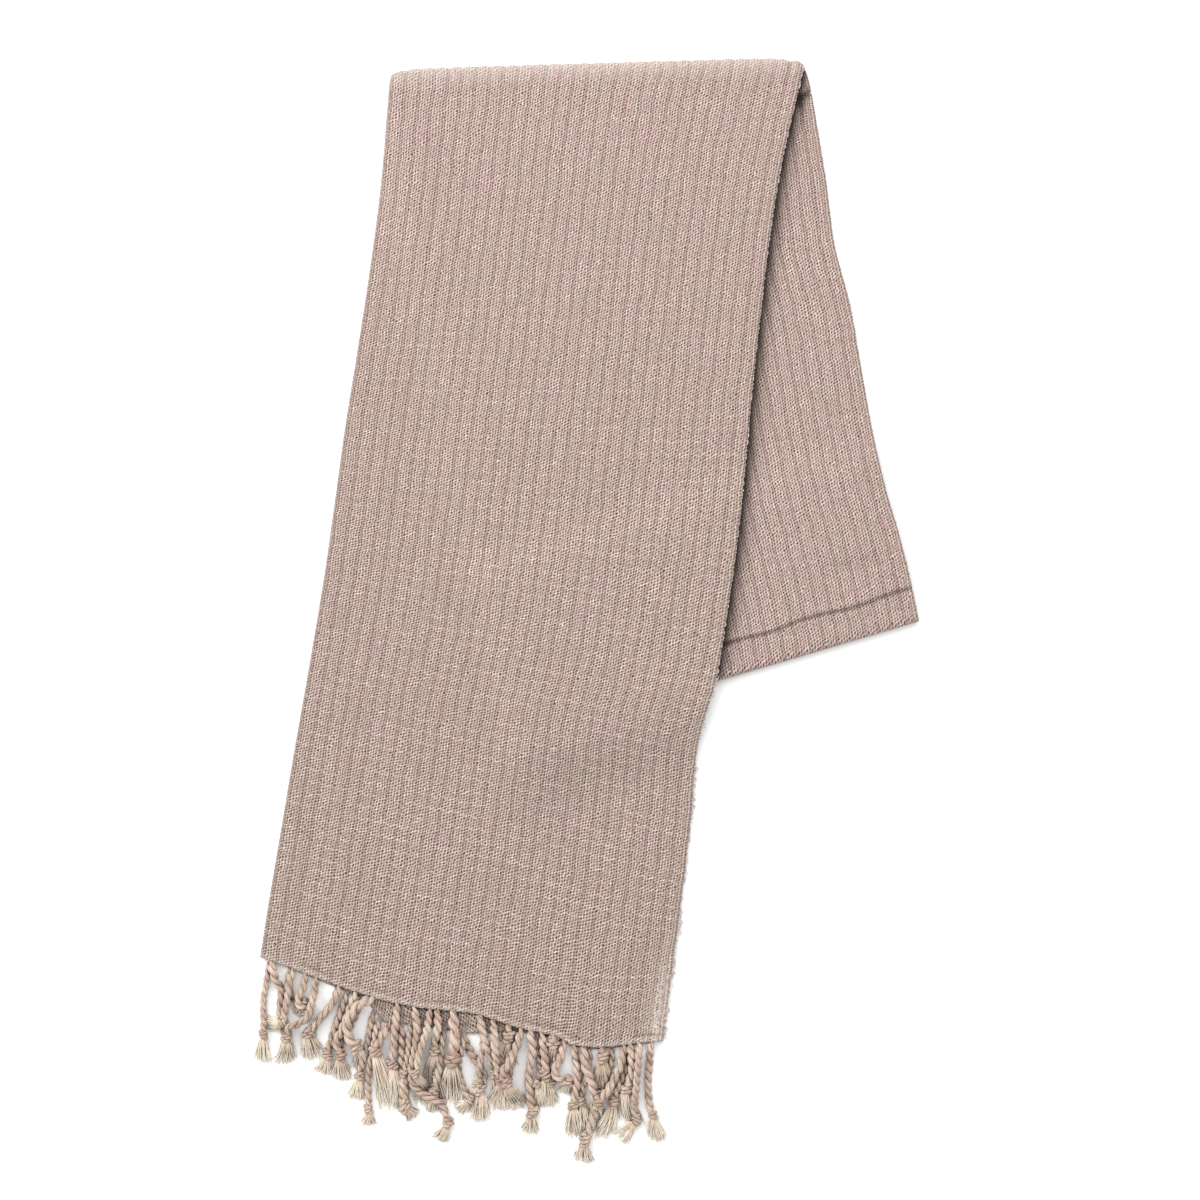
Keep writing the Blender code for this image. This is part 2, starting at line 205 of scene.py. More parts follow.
# The same for the back leg, whose crease lies beside its turned end.
BACK_CREASES = (
    (0.1480, 0.0234, 0.1800, 0.0333, 0.0022, -0.0008),
    (0.1275, 0.3195, 0.1375, 0.3250, 0.0032, 0.0016),
    (0.1230, 0.3125, 0.1410, 0.3215, 0.0019, -0.0026),
)
CREASE_DEPTH = 0.0018
CREASE_WIDTH = 0.0013
CREASE_LIPS = 0.0007
CREASE_LIPS_SPREAD = 2.5
CREASE_WAVE = 0.0008
CREASE_WAVES = 110.0

# The weft loops of the selvedges are longest along the FRAYED_LENGTH beside the front hem. Two waves
# bunch them into tufts. Widths and steps are times the common spacing, from least to most.
LOOP_RADIUS = 0.00027
LOOP_ROOT = 0.001
LOOP_WIDTHS = (0.10, 0.7)
LOOP_STEPS = (0.3, 1.9)
LOOP_WAVES = (61.0, 143.0)
FRAYED_LENGTH = 0.17
FRAYED_FADE = 0.10
FRAYED_SHARE = 0.85

# The weft lies square to the warp in the back leg. Towards the top fold it is drawn along the fold,
# and at the front hem it follows the hem.
FOLD_WEFT_DRAW = 0.2365
BACK_WEFT_DRAW = 0.0637
WEFT_DRAW_START = 0.14
WEFT_DRAW_FULL = 0.46
WEFT_DRAW_BACK = 0.72

# ------------------------------------------------------------------ the fringe

# A cord is two plies twisted round each other, and lies on the floor, the hem or other cords.
# CROSSING_SQUASH is how far it keeps its height where it crosses one.
PLY_RADIUS = 0.00146
PLY_OFFSET = 0.00120
PLY_UNEVENNESS = 0.05
CORD_RADIUS = PLY_RADIUS + PLY_OFFSET
TWIST_PITCH = 0.0112
CORD_STEP = 0.0008
CROSSING_SQUASH = 0.78
ROOT_REACH = 0.0015

# A cord leaves the hem thin and has its full thickness after ROOT_TAPER.
ROOT_SHARE = 0.45
ROOT_TAPER = 0.007

# A knot is KNOT_WRAPS tight wraps of the same cord, drawn thinner, that bulge in the middle.
KNOT_RADIUS = 0.0039
KNOT_WRAPS = 2.3
KNOT_STEPS = 54
KNOT_CORD = 0.68
KNOT_TWISTS = 5
KNOT_HEIGHT = 0.0040
KNOT_LEAN = 0.35
KNOT_HALF_LENGTH = 0.75
KNOT_BULGE = 0.55

# A tuft is loose yarns that spread from the knot. Its bend and its yarns' reach are shares of its
# length, and a yarn strays by its wisp and its wave.
TUFT_STEPS = 8
YARN_RADIUS = 0.00044
TUFT_HALF_WIDTH = 0.0064
TUFT_HEIGHT = 0.0036
TUFT_BEND = 0.09
YARN_REACH = (0.74, 1.08)
YARN_WISP = 1.1 * MM
YARN_WAVE = 0.35 * MM
YARN_TAPER = 0.55

# How far away a neighbour still counts for the shade painted into the hollow beside it.
YARN_SHADE_REACH = 0.005
CLOTH_SHADE_REACH = 0.014

# Sizes of the soft variations' patches: 17 mm for the threads' wandering and 3 mm for that of single
# crossings, 21 mm for where the floating wefts show, 11 mm for the washed patches, 2 mm for the
# fibres' wandering, 9 and 13 mm for a yarn's worn and tinted stretches, and 1 mm for the tooth of
# the paper, which is finer in truth and drawn that coarse to show at all.
THREAD_PATCH = 1 / 60
CROSSING_PATCH = 1 / 350
FLOAT_PATCH = 1 / 48
WASHED_PATCH = 1 / 90
FIBRE_PATCH = 1 / 420
WORN_PATCH = 1 / 110
TINT_PATCH = 1 / 75
TOOTH_PATCH = 1 / 900

# Painted shade lines run along the folds beside the rolled selvedge and above the hem: how far from the
# edge, half their width, and how many times as dark the hem's are.
SELVEDGE_FOLD_SHADE = 0.0031
HEM_FOLD_SHADE = 0.0044
FOLD_SHADE_HALF_WIDTH = 0.0007
HEM_FOLD_SHADE_SHARE = 1.6

# Tints of a yarn's yellower and pinker stretches.
YELLOWER = "FAF9F1"
PINKER = "FEF4F4"

UPPER, LOWER = True, False

# The front fringe's strands, from left to right: place of the root in strands from the folded edge,
# layer of the hem, thickness, and the bends, the knot and the tip, in millimetres right of and
# below the root.
FRONT_STRANDS = (
    (0.45, LOWER, 0.85, ((-2, 11), (-4, 24), (-4, 37), (-4, 46), (-5, 63))),
    (0.50, UPPER, 1.05, ((3, 11), (7, 19), (6, 29), (7, 37), (10, 45), (10, 62))),
    (1.74, LOWER, 0.95, ((-1, 6), (0, 15), (4, 20), (9, 21), (3, 28))),
    (1.95, UPPER, 0.95, ((-2, 8), (-3, 16), (-5, 26), (-6, 33), (-19, 35))),
    (2.70, UPPER, 0.95, ((-1, 8), (-4, 15), (-3, 20), (3, 23), (-2, 29))),
    (3.40, UPPER, 0.95, ((-1, 9), (-4, 22), (-10, 28), (-16, 30), (-18, 37), (-19, 54))),
    (4.85, UPPER, 1.00, ((-2, 8), (-9, 17), (-15, 24), (-19, 29), (-19, 46))),
    (4.70, LOWER, 0.90, ((-1, 7), (-6, 15), (-12, 22), (-15, 28), (-14, 40))),
    (5.40, LOWER, 1.00, ((-3, 10), (-7, 21), (-10, 31), (-12, 38), (-15, 51))),
    (5.95, UPPER, 1.05, ((-4, 12), (-9, 24), (-12, 30), (-9, 39), (-10, 55))),
    (6.30, LOWER, 0.90, ((-3, 10), (-8, 20), (-12, 28), (-13, 34), (-12, 47))),
    (7.10, UPPER, 1.25, ((-9, 4), (-15, 12), (-16, 21), (-11, 30), (-6, 43))),
    (7.20, LOWER, 0.90, ((-2, 8), (-4, 20), (-7, 31), (-9, 40), (-12, 55))),
    (7.60, LOWER, 0.90, ((-2, 9), (-4, 21), (-7, 35), (-7, 47), (-7, 57), (-6, 67))),
    (8.30, LOWER, 1.05, ((-3, 4), (-6, 10), (-9, 16), (1, 52))),
    (8.55, UPPER, 1.00, ((-1, 14), (-2, 26), (-3, 37), (2, 66))),
    (8.90, LOWER, 1.25, ((1, 15), (2, 31), (3, 50), (9, 58))),
    (9.50, LOWER, 0.90, ((0, 10), (-1, 20), (-3, 29), (-2, 42))),
    (9.60, UPPER, 1.00, ((2, 12), (1, 26), (-1, 38), (1, 50), (10, 56), (17, 60), (21, 72), (17, 84))),
    (10.30, LOWER, 0.95, ((-1, 9), (-4, 20), (-6, 32), (0, 48))),
    (10.60, UPPER, 0.95, ((-2, 13), (-6, 26), (-8, 38), (-3, 55))),
    (11.00, UPPER, 1.00, ((1, 10), (-1, 19), (-1, 25), (-5, 47))),
    (11.30, LOWER, 0.95, ((0, 8), (-1, 18), (-1, 28), (3, 44))),
    (11.60, LOWER, 0.95, ((-1, 7), (-2, 19), (-4, 30), (-6, 37), (-8, 51))),
    (12.00, UPPER, 1.35, ((1, 12), (1, 22), (0, 30), (-2, 57))),
    (12.70, LOWER, 1.05, ((4, 9), (10, 19), (14, 27), (12, 35), (11, 55))),
    (12.90, LOWER, 0.90, ((-2, 10), (-4, 21), (-1, 33), (3, 41), (-5, 48))),
    (13.60, UPPER, 1.05, ((3, 12), (7, 25), (10, 36), (16, 60))),
    (14.00, LOWER, 0.90, ((0, 9), (-2, 20), (-3, 30), (-6, 44))),
    (14.50, UPPER, 1.00, ((1, 11), (2, 22), (4, 33), (5, 38), (2, 52))),
    (15.10, LOWER, 0.90, ((-1, 10), (1, 21), (2, 33), (3, 48))),
    (15.50, UPPER, 1.20, ((0, 3), (0, 7), (-4, 28))),
    (15.90, LOWER, 0.95, ((1, 9), (-2, 20), (-4, 31), (-2, 45))),
    (16.30, UPPER, 1.05, ((-3, 11), (-8, 20), (-11, 26), (-9, 32), (-2, 50))),
    (16.80, UPPER, 1.10, ((2, 12), (0, 26), (0, 38), (2, 51), (-1, 64))),
    (17.30, LOWER, 0.90, ((0, 9), (2, 20), (0, 30), (3, 44))),
    (17.60, UPPER, 1.05, ((1, 10), (2, 20), (2, 26), (5, 46))),
    (18.20, UPPER, 1.15, ((0, 2), (1, 5), (0, 19))),
    (18.60, LOWER, 0.90, ((0, 8), (-3, 18), (-4, 26), (-5, 40))),
    (19.00, UPPER, 1.05, ((-2, 10), (-6, 18), (-3, 24), (3, 25), (1, 33))),
    (19.60, UPPER, 1.00, ((2, 11), (2, 24), (0, 36), (0, 57))),
    (20.20, UPPER, 1.15, ((2, 14), (6, 25), (7, 40), (4, 52), (1, 58), (-1, 72))),
    (20.60, LOWER, 1.00, ((-1, 11), (-4, 22), (-5, 32), (-4, 51))),
    (21.40, UPPER, 1.15, ((0, 2), (0, 6), (-2, 25))),
    (22.00, LOWER, 0.90, ((-1, 9), (-4, 18), (-8, 28), (-11, 42))),
    (22.70, UPPER, 1.05, ((-2, 11), (-7, 22), (-13, 31), (-16, 35), (-19, 46))),
    (23.20, LOWER, 1.00, ((-4, 14), (-9, 26), (-12, 35), (-16, 58))),
    (23.00, UPPER, 1.15, ((2, 11), (1, 19), (-1, 27), (-5, 48))),
    (23.60, UPPER, 0.95, ((-1, 12), (-2, 26), (-3, 40), (-2, 48), (-13, 60))),
    (24.30, UPPER, 0.95, ((-1, 12), (-2, 26), (-1, 38), (1, 45), (2, 62))),
)

# The fringe that lies hidden under the back leg: length and radius of its cords, the points of a
# whole strand and of its cord, the loose yarns at a strand's end, and the strands' shares of the
# length, which take turns.
HIDDEN_LENGTH = 0.060
HIDDEN_RADIUS = 0.0017
HIDDEN_STEPS = 22
HIDDEN_CORD_STEPS = 17
HIDDEN_YARN_RADIUS = 0.4 * MM
HIDDEN_YARNS = 4
HIDDEN_SHARES = (0.97, 0.90, 1.00, 0.94)

# ------------------------------------------------------------------ the studio

PHOTO_SIZE = 1200
PHOTO_SCALE = 0.00062
FRAME_CENTRE = (0.0101, 0.0060)
FRAME_WIDTH = PHOTO_SIZE * PHOTO_SCALE
SENSOR = 36.0
FLOOR_SIZE = 8.0
FLOOR_DROP = 0.0003


def linear(hex_colour):
    """A Blender colour from sRGB hex digits."""
    parts = [int(hex_colour[place:place + 2], 16) / 255 for place in (0, 2, 4)]
    parts = [part / 12.92 if part <= 0.04045 else ((part + 0.055) / 1.055) ** 2.4 for part in parts]
    return parts + [1.0]


# ------------------------------------------------------------------ laying the folded strip


def unit(angle):
    """The unit vector at an angle from X, in the floor's plane."""
    return np.array((math.cos(angle), math.sin(angle)))


ACROSS = unit(-STRIP_TILT)
ALONG = unit(math.pi / 2 - STRIP_TILT)
FOLD_LINE = unit(FOLD_TILT)
FOLD_OUT = unit(math.pi / 2 + FOLD_TILT)
TURN_OUT = unit(TURN_TILT - math.pi / 2)
BACK_LEG = unit(2 * FOLD_TILT + STRIP_TILT - math.pi / 2)
BACK_LEG_SIDE = unit(2 * FOLD_TILT + STRIP_TILT - math.pi)


def arc(gap):
    """Length of the strip's middle round a fold that leaves a gap between its legs."""
    return math.pi * (gap + STRIP_DEPTH) / 2


def ease(share):
    """A smooth step from 0 to 1."""
    share = np.clip(share, 0.0, 1.0)
    return share * share * (3.0 - 2.0 * share)


def read_curve(at, stations, values):
    """A smooth curve through the rows of a table."""
    stations = np.asarray(stations)
    values = np.asarray(values)
    slopes = np.gradient(values, stations)
    at = np.clip(at, stations[0], stations[-1])
    row = np.clip(np.searchsorted(stations, at) - 1, 0, len(stations) - 2)
    span = stations[row + 1] - stations[row]
    part = (at - stations[row]) / span
    back = 1.0 - part
    start = values[row] * (1.0 + 2.0 * part) * back ** 2 + slopes[row] * span * part * back ** 2
    end = values[row + 1] * (3.0 - 2.0 * part) * part ** 2 - slopes[row + 1] * span * back * part ** 2
    return start + end


def over_fold(past, rise, gap):
    """How far out and how high the strip is when a point of it is `past` the start of a fold."""
    inner = gap / 2
    turn = np.clip(past / (inner + STRIP_DEPTH / 2), 0.0, math.pi)
    reach = np.minimum(past, 0.0) + (inner + rise) * np.sin(turn) - np.maximum(past - arc(gap), 0.0)
    height = (inner + rise) * np.cos(turn) - inner
    return reach, height


def back_floor(turn_past):
    """Height of the back leg's underside, by the distance past the line where its end turns."""
    return RAISED * (1.0 - ease((-turn_past - RAISED_LENGTH) / RAMP_LENGTH))


def front_floor(plan, turn_past):
    """Height of the front leg's underside: over the back leg, and down to the floor outside it."""
    corner = FOLD_MIDDLE - ACROSS * STRIP_WIDTH / 2
    beside = (plan - corner) @ BACK_LEG_SIDE - DROP_START
    below = turn_past - STRIP_DEPTH - DROP_START
    held = (1.0 - ease(beside / SIDE_DROP)) * (1.0 - ease(below / END_DROP))
    return (back_floor(turn_past) + STRIP_DEPTH + LEG_GAP) * held


def edge_stray(share, down):
    """How far the edges' slow waves move a point across; down is negative on the back leg."""
    stations, folded, selvedge = np.transpose(FRONT_EDGE_ROWS)
    front = read_curve(down, stations, folded) * (1.0 - share)
    front = front + read_curve(down, stations, selvedge) * share
    stations, selvedge = np.transpose(BACK_EDGE_ROWS)
    return np.where(down > 0.0, front, read_curve(-down, stations, selvedge) * share)


def corner_draw(across, run):
    """How much shorter the strip is by the corners of the top fold; run is the way past the fold."""
    folded = FOLDED_CORNER_DRAW * np.exp(-across / FOLDED_CORNER_REACH)
    selvedge = SELVEDGE_CORNER_DRAW * np.exp((across - STRIP_WIDTH) / SELVEDGE_CORNER_REACH)
    return (folded + selvedge) * np.exp(-np.maximum(run, 0.0) / CORNER_FADE)


def rib_place(number):
    """How far across the strip a rib begins; the first one begins where the folded edge ends."""
    return STRIP_DEPTH / 2 + number * RIB_PITCH


def strand_place(number):
    """How far across the strip a strand's share of the hem begins."""
    return STRIP_DEPTH / 2 + number * STRAND_PITCH


def hem_reach(across, along, rise):
    """How far past a straight hem a point near the front hem lies."""
    numbers, upper, lower = np.transpose(HEM_ROWS)
    places = strand_place(numbers)
    on_upper = rise > STRIP_DEPTH / 2
    reach = np.where(on_upper, np.interp(across, places, upper), np.interp(across, places, lower))
    return reach * np.clip(1.0 - np.maximum(along, 0.0) / HEM_REACH, 0.0, 1.0) ** 2


def lay(across, along, rise):
    """Where points of the folded strip come to lie, as rows of X, Y and Z."""
    share = across / STRIP_WIDTH
    run = along - FRONT_LENGTH - WEFT_SKEW * (share - 0.5) - hem_reach(across, along, rise)
    side = across - STRIP_WIDTH / 2 + edge_stray(share, -run)
    flat = side[:, None] * ACROSS + run[:, None] * ALONG
    draw = corner_draw(across, run)
    past = flat @ FOLD_OUT + draw
    reach, height = over_fold(past, rise, LEG_GAP)
    plan = FOLD_MIDDLE + (flat @ FOLD_LINE)[:, None] * FOLD_LINE + (reach - draw)[:, None] * FOLD_OUT
    turn_past = (plan - TURN_POINT) @ TURN_OUT
    under_reach, under_height = over_fold(turn_past, STRIP_DEPTH - rise, TURN_GAP)
    on_back = past > arc(LEG_GAP)
    on_front = past < 0.0
    plan = plan + np.where(on_back, under_reach - turn_past, 0.0)[:, None] * TURN_OUT
    z = STRIP_DEPTH + LEG_GAP + height
    z = np.where(on_front, front_floor(plan, turn_past) + rise, z)
    z = np.where(on_back, back_floor(turn_past) + under_height, z)
    return np.column_stack((plan, z))


def hem_line(along):
    """A line parallel to the hems, as its `along` at the folded edge and at the selvedge."""
    return along, along


def fold_line(past):
    """The line that lies `past` the start of the top fold, given as hem_line gives one."""
    ends = []
    for share in (0.0, 1.0):
        run = (past - (share - 0.5) * STRIP_WIDTH * (ACROSS @ FOLD_OUT)) / (ALONG @ FOLD_OUT)
        ends.append(run + FRONT_LENGTH + WEFT_SKEW * (share - 0.5))
    return tuple(ends)


def turn_line(past):
    """The line that lies `past` the line where the back leg's end turns under."""
    back_across = unit(2 * FOLD_TILT + STRIP_TILT)
    ends = []
    for share in (0.0, 1.0):
        start = FOLD_MIDDLE + FOLD_OUT * arc(LEG_GAP) + (share - 0.5) * STRIP_WIDTH * back_across
        run = (past - (start - TURN_POINT) @ TURN_OUT) / (BACK_LEG @ TURN_OUT)
        ends.append(run + FRONT_LENGTH + WEFT_SKEW * (share - 0.5))
    return tuple(ends)


def line_at(line, across):
    """The `along` of a line where it crosses places across the strip."""
    start, end = line
    return start + (end - start) * across / STRIP_WIDTH


# ------------------------------------------------------------------ the cloth


def cloth_rows():
    """The cloth's rows of points, each as its `along` at the folded edge and at the selvedge."""
    guides = (
        (hem_line(0.0), HEM_BAND_ROWS),
        (hem_line(HEM_BAND), FRONT_ROWS),
        (fold_line(0.0), FOLD_ROWS),
        (fold_line(arc(LEG_GAP)), CORNER_ROWS),
        (fold_line(arc(LEG_GAP) + CORNER_BAND), BACK_ROWS),
        (turn_line(-CREASE_PLACE - CREASE_BAND), CREASE_ROWS),
        (turn_line(-CREASE_PLACE + CREASE_BAND), BAND_ROWS),
        (turn_line(0.0), TURN_ROWS),
        (turn_line(arc(TURN_GAP)), END_ROWS),
        (hem_line(CLOTH_LENGTH), 0),
    )
    rows = []
    for (start, steps), (end, _) in zip(guides, guides[1:]):
        for step in range(steps):
            part = step / steps
            rows.append((start[0] + (end[0] - start[0]) * part, start[1] + (end[1] - start[1]) * part))
    rows.append(guides[-1][0])
    return np.array(rows)


def section():
    """The folded strip's section: across and rise of each column on the outer and the inner face.

    The third value is the columns' flat measure across the cloth, from where the folded edge ends:
    above 0 on the upper layer, and below 0 round the edge and on the lower layer.
    """
    middle = STRIP_DEPTH / 2
    outer = []
    inner = []
    flat = []
    places = [rib_place(rib + share) for rib in range(RIBS) for share in RIB_COLUMNS]
    places.append(rib_place(RIBS))
    for across in reversed(places):
        outer.append((across, STRIP_DEPTH))
        inner.append((across, STRIP_DEPTH - SHEET))
        flat.append(across - middle)
    for step in range(1, EDGE_STEPS):
        turn = math.pi * step / EDGE_STEPS
        outer.append((middle - middle * math.sin(turn), middle + middle * math.cos(turn)))
        inner.append((middle - LAYER_GAP / 2 * math.sin(turn), middle + LAYER_GAP / 2 * math.cos(turn)))
        flat.append(-RIB_PITCH * step / EDGE_STEPS)
    for across in places:
        outer.append((across, 0.0))
        inner.append((across, SHEET))
        flat.append(-RIB_PITCH - (across - middle))
    return np.array(outer), np.array(inner), np.array(flat)


def groove_strength(number):
    """How many times the common depth the groove nearest to a place has."""
    strength = np.ones_like(number)
    for groove, times in DEEP_GROOVES:
        strength = np.where(np.abs(number - groove) < 0.5, times, strength)
    return strength


def rib_relief(across, along, relief):
    """Height of the outer face above the plain one: crowned ribs with grooves between them."""
    number = (across - rib_place(0)) / RIB_PITCH
    crown = np.abs(np.sin(np.pi * number)) ** RIB_FULLNESS
    slow = 1.0 + 0.25 * np.sin(23.0 * along + 0.9 * number) + 0.2 * np.sin(71.0 * along - 1.7 * number)
    depth = RIB_GROOVE * groove_strength(number) * slow
    roll = SELVEDGE_ROLL * np.sin(np.pi * np.clip(number - (RIBS - 1), 0.0, 1.0))
    height = relief * (RIB_CROWN * crown - depth * (1.0 - crown)) + roll
    return np.where(number < 0.0, 0.0, height) * ease((number + 0.1) / 0.5)


def crease_height(plan, creases):
    """Height of soft troughs and ridges at places in the floor's plane."""
    height = np.zeros(len(plan))
    for start_x, start_y, end_x, end_y, width, crown in creases:
        start = np.array((start_x, start_y))
        way = np.array((end_x, end_y)) - start
        length = np.linalg.norm(way)
        share = (plan - start) @ way / length ** 2
        off = np.linalg.norm(plan - start - np.clip(share, 0.0, 1.0)[:, None] * way, axis=1)
        height += crown * np.exp(-(off / width) ** 2)
    return height


def weft_draw(across, along):
    """How much the weft at a place runs ahead of a straight one."""
    front = FOLD_WEFT_DRAW * ease((along - WEFT_DRAW_START) / (WEFT_DRAW_FULL - WEFT_DRAW_START))
    back = ease((along - FRONT_LENGTH) / (WEFT_DRAW_BACK - FRONT_LENGTH))
    return (front - (FOLD_WEFT_DRAW - BACK_WEFT_DRAW) * back) * (across - STRIP_WIDTH / 2)


def weave_sheet(relief):
    """The cloth's mesh, with its flat measures across and along as the UV map `weave`."""
    outer, inner, flat = section()
    rows = cloth_rows()
    columns = len(flat) - 1
    steps = len(rows) - 1
    bm = bmesh.new()
    bmesh.ops.create_grid(bm, x_segments=columns, y_segments=steps, size=0.5)
    made = bmesh.ops.extrude_face_region(bm, geom=bm.faces[:])
    inside = [item for item in made["geom"] if isinstance(item, bmesh.types.BMVert)]
    bmesh.ops.translate(bm, vec=(0.0, 0.0, 1.0), verts=inside)
    mesh = bpy.data.meshes.new("towel_sheet")
    bm.to_mesh(mesh)
    bm.free()

    grid = np.empty(len(mesh.vertices) * 3, np.float32)
    mesh.vertices.foreach_get("co", grid)
    grid = grid.reshape(-1, 3)
    column = np.rint((grid[:, 0] + 0.5) * columns).astype(int)
    row = np.rint((grid[:, 1] + 0.5) * steps).astype(int)
    is_inner = grid[:, 2] > 0.5
    across = np.where(is_inner, inner[column, 0], outer[column, 0])
    rise = np.where(is_inner, inner[column, 1], outer[column, 1])
    along = rows[row, 0] + (rows[row, 1] - rows[row, 0]) * across / STRIP_WIDTH

    places = lay(across, along, rise)
    on_upper = rise > STRIP_DEPTH / 2
    on_lower = rise < STRIP_DEPTH / 2
    past_fold = along - line_at(fold_line(0.0), across)
    past_turn = along - line_at(turn_line(0.0), across)
    front = 1.0 - ease((past_fold + FOLD_FADE) / FOLD_FADE)
    before_turn = 1.0 - ease((past_turn + TURN_FADE) / TURN_FADE)
    back = ease((past_fold - arc(LEG_GAP)) / FOLD_FADE) * before_turn
    near_fold = np.abs(past_fold - arc(LEG_GAP) / 2) - arc(LEG_GAP) / 2
    near_fold = 1.0 - ease(near_fold / FOLD_RELIEF_FADE)
    raised = rib_relief(across, along, relief) * (1.0 - (1.0 - FOLD_RELIEF) * near_fold)
    top_front = ~is_inner & on_upper
    top_back = ~is_inner & on_lower
    places[:, 2] += np.where(top_front & (past_fold < 0.0), raised, 0.0)
    places[:, 2] += np.where(top_back, raised * back, 0.0)
    over = np.clip(past_fold / arc(LEG_GAP), 0.0, 1.0) * math.pi
    round_fold = np.where(top_front, raised, 0.0) * (past_fold >= 0.0) * (past_fold <= arc(LEG_GAP))
    places[:, 2] += round_fold * np.cos(over)
    places[:, :2] += (round_fold * np.sin(over))[:, None] * FOLD_OUT
    places[:, 2] += crease_height(places[:, :2], FRONT_CREASES) * front * on_upper
    lip = HEM_LIP * np.exp(-np.maximum(along, 0.0) / HEM_LIP_REACH)
    scallop = np.abs(np.sin(np.pi * (across - rib_place(0)) / RIB_PITCH))
    scallop = 1.0 - HEM_LIP_WAVE + HEM_LIP_WAVE * scallop
    places[:, 2] += np.where(on_upper, lip * scallop, 0.0)
    off_crease = (past_turn + CREASE_PLACE + CREASE_WAVE * np.sin(across * CREASE_WAVES)) / CREASE_WIDTH
    lips = CREASE_LIPS * np.exp(-(off_crease / CREASE_LIPS_SPREAD) ** 2)
    crease = lips - CREASE_DEPTH * np.exp(-off_crease ** 2)
    crease = (crease_height(places[:, :2], BACK_CREASES) + crease) * back * on_lower
    places[:, 2] = np.maximum(places[:, 2] + crease, 0.0)
    mesh.vertices.foreach_set("co", places.astype(np.float32).ravel())
    # The crease's depth, kept as the mask for the shade painted into the creases.
    painted_crease_mask = mesh.attributes.new("painted_crease_mask", "FLOAT", "POINT")
    painted_crease_mask.data.foreach_set("value", np.clip(-crease / CREASE_DEPTH, 0.0, 1.0).astype(np.float32))

    corners = np.empty(len(mesh.loops), np.int32)
    mesh.loops.foreach_get("vertex_index", corners)
    weave = np.column_stack((flat[column], along - weft_draw(across, along)))[corners]
    mesh.uv_layers.new(name="weave").data.foreach_set("uv", weave.astype(np.float32).ravel())
    turn_outwards(mesh)
    return mesh


def turn_outwards(mesh):
    """Makes a closed mesh's faces point out, smooth and ready to be shown."""
    bm = bmesh.new()
    bm.from_mesh(mesh)
    bmesh.ops.recalc_face_normals(bm, faces=bm.faces[:])
    bm.to_mesh(mesh)
    bm.free()
    mesh.shade_smooth()


# ------------------------------------------------------------------ yarn


def make_tubes(name, tubes, sides):
    """A mesh of closed tubes, each given as its points, its radii and whether it is a ring."""
    curve = bpy.data.curves.new(name, "CURVE")
    curve.dimensions = "3D"
    curve.bevel_depth = 1.0
    curve.bevel_resolution = (sides - 4) // 2
    curve.use_fill_caps = True
    for points, radii, ring in tubes:
        spline = curve.splines.new("POLY")
        spline.points.add(len(points) - 1)
        rows = np.column_stack((points, np.ones(len(points))))
        spline.points.foreach_set("co", rows.astype(np.float32).ravel())
        spline.points.foreach_set("radius", np.broadcast_to(radii, len(points)).astype(np.float32))
        spline.use_cyclic_u = ring
    carrier = bpy.data.objects.new(name, curve)
    bpy.context.scene.collection.objects.link(carrier)
    solid = carrier.evaluated_get(bpy.context.evaluated_depsgraph_get())
    mesh = bpy.data.meshes.new_from_object(solid)
    bpy.data.objects.remove(carrier)
    bpy.data.curves.remove(curve)
    mesh.name = name
    turn_outwards(mesh)
    return mesh


def smooth_route(bends, step):
    """Points a step apart on a smooth curve through the bends."""
    bends = np.asarray(bends, float)
    ahead = 2 * bends[-1] - bends[-2]
    behind = 2 * bends[0] - bends[1]
    held = np.vstack((behind, bends, ahead))
    points = []
    for before, start, end, after in zip(held, held[1:], held[2:], held[3:]):
        count = max(2, int(round(np.linalg.norm(end - start) / step)))
        for part in np.arange(count) / count:
            points.append(
                0.5 * (2 * start + (end - before) * part
                       + (2 * before - 5 * start + 4 * end - after) * part ** 2
                       + (3 * start - before - 3 * end + after) * part ** 3)
            )
    points.append(bends[-1])
    return np.array(points)


def length_along(points):
    """Distance of each point from the first one, along the route."""
    return np.concatenate(([0.0], np.cumsum(np.linalg.norm(np.diff(points, axis=0), axis=1))))


def frames_of(points, ring=False):
    """For each point of a route, its direction, and unit vectors to its side and above it."""
    ahead = np.roll(points, -1, axis=0) - np.roll(points, 1, axis=0)
    if not ring:
        ahead[0] = points[1] - points[0]
        ahead[-1] = points[-1] - points[-2]
    ahead /= np.linalg.norm(ahead, axis=1)[:, None]
    side = np.cross(ahead, (0.0, 0.0, 1.0))
    side /= np.linalg.norm(side, axis=1)[:, None]
    return ahead, side, np.cross(side, ahead)


def twist_plies(points, thickness, turn, ring=False):
    """Two plies twisted round each other along a route; turn is the twist's angle at each point."""
    _, side, above = frames_of(points, ring)
    thickness = np.broadcast_to(thickness, len(points))
    plies = []
    for start in (0.0, math.pi):
        offset = np.cos(turn + start)[:, None] * side + np.sin(turn + start)[:, None] * above
        uneven = 1.0 + PLY_UNEVENNESS * (np.sin(2.0 * turn + 3.0 * start) + np.sin(start - 0.7 * turn))
        centres = points + offset * PLY_OFFSET * thickness[:, None]
        plies.append((centres, PLY_RADIUS * thickness * uneven, ring))
    return plies


def twist_cord(points, thickness, phase):
    """The plies of a cord along a route, which starts thin at its root."""
    length = length_along(points)
    turn = phase + 2 * math.pi * length / (TWIST_PITCH * thickness)
    return twist_plies(points, thickness * root_share(length), turn)


def root_share(length):
    """A cord's thickness near its root, as a share of the full one."""
    return ROOT_SHARE + (1.0 - ROOT_SHARE) * ease(length / ROOT_TAPER)


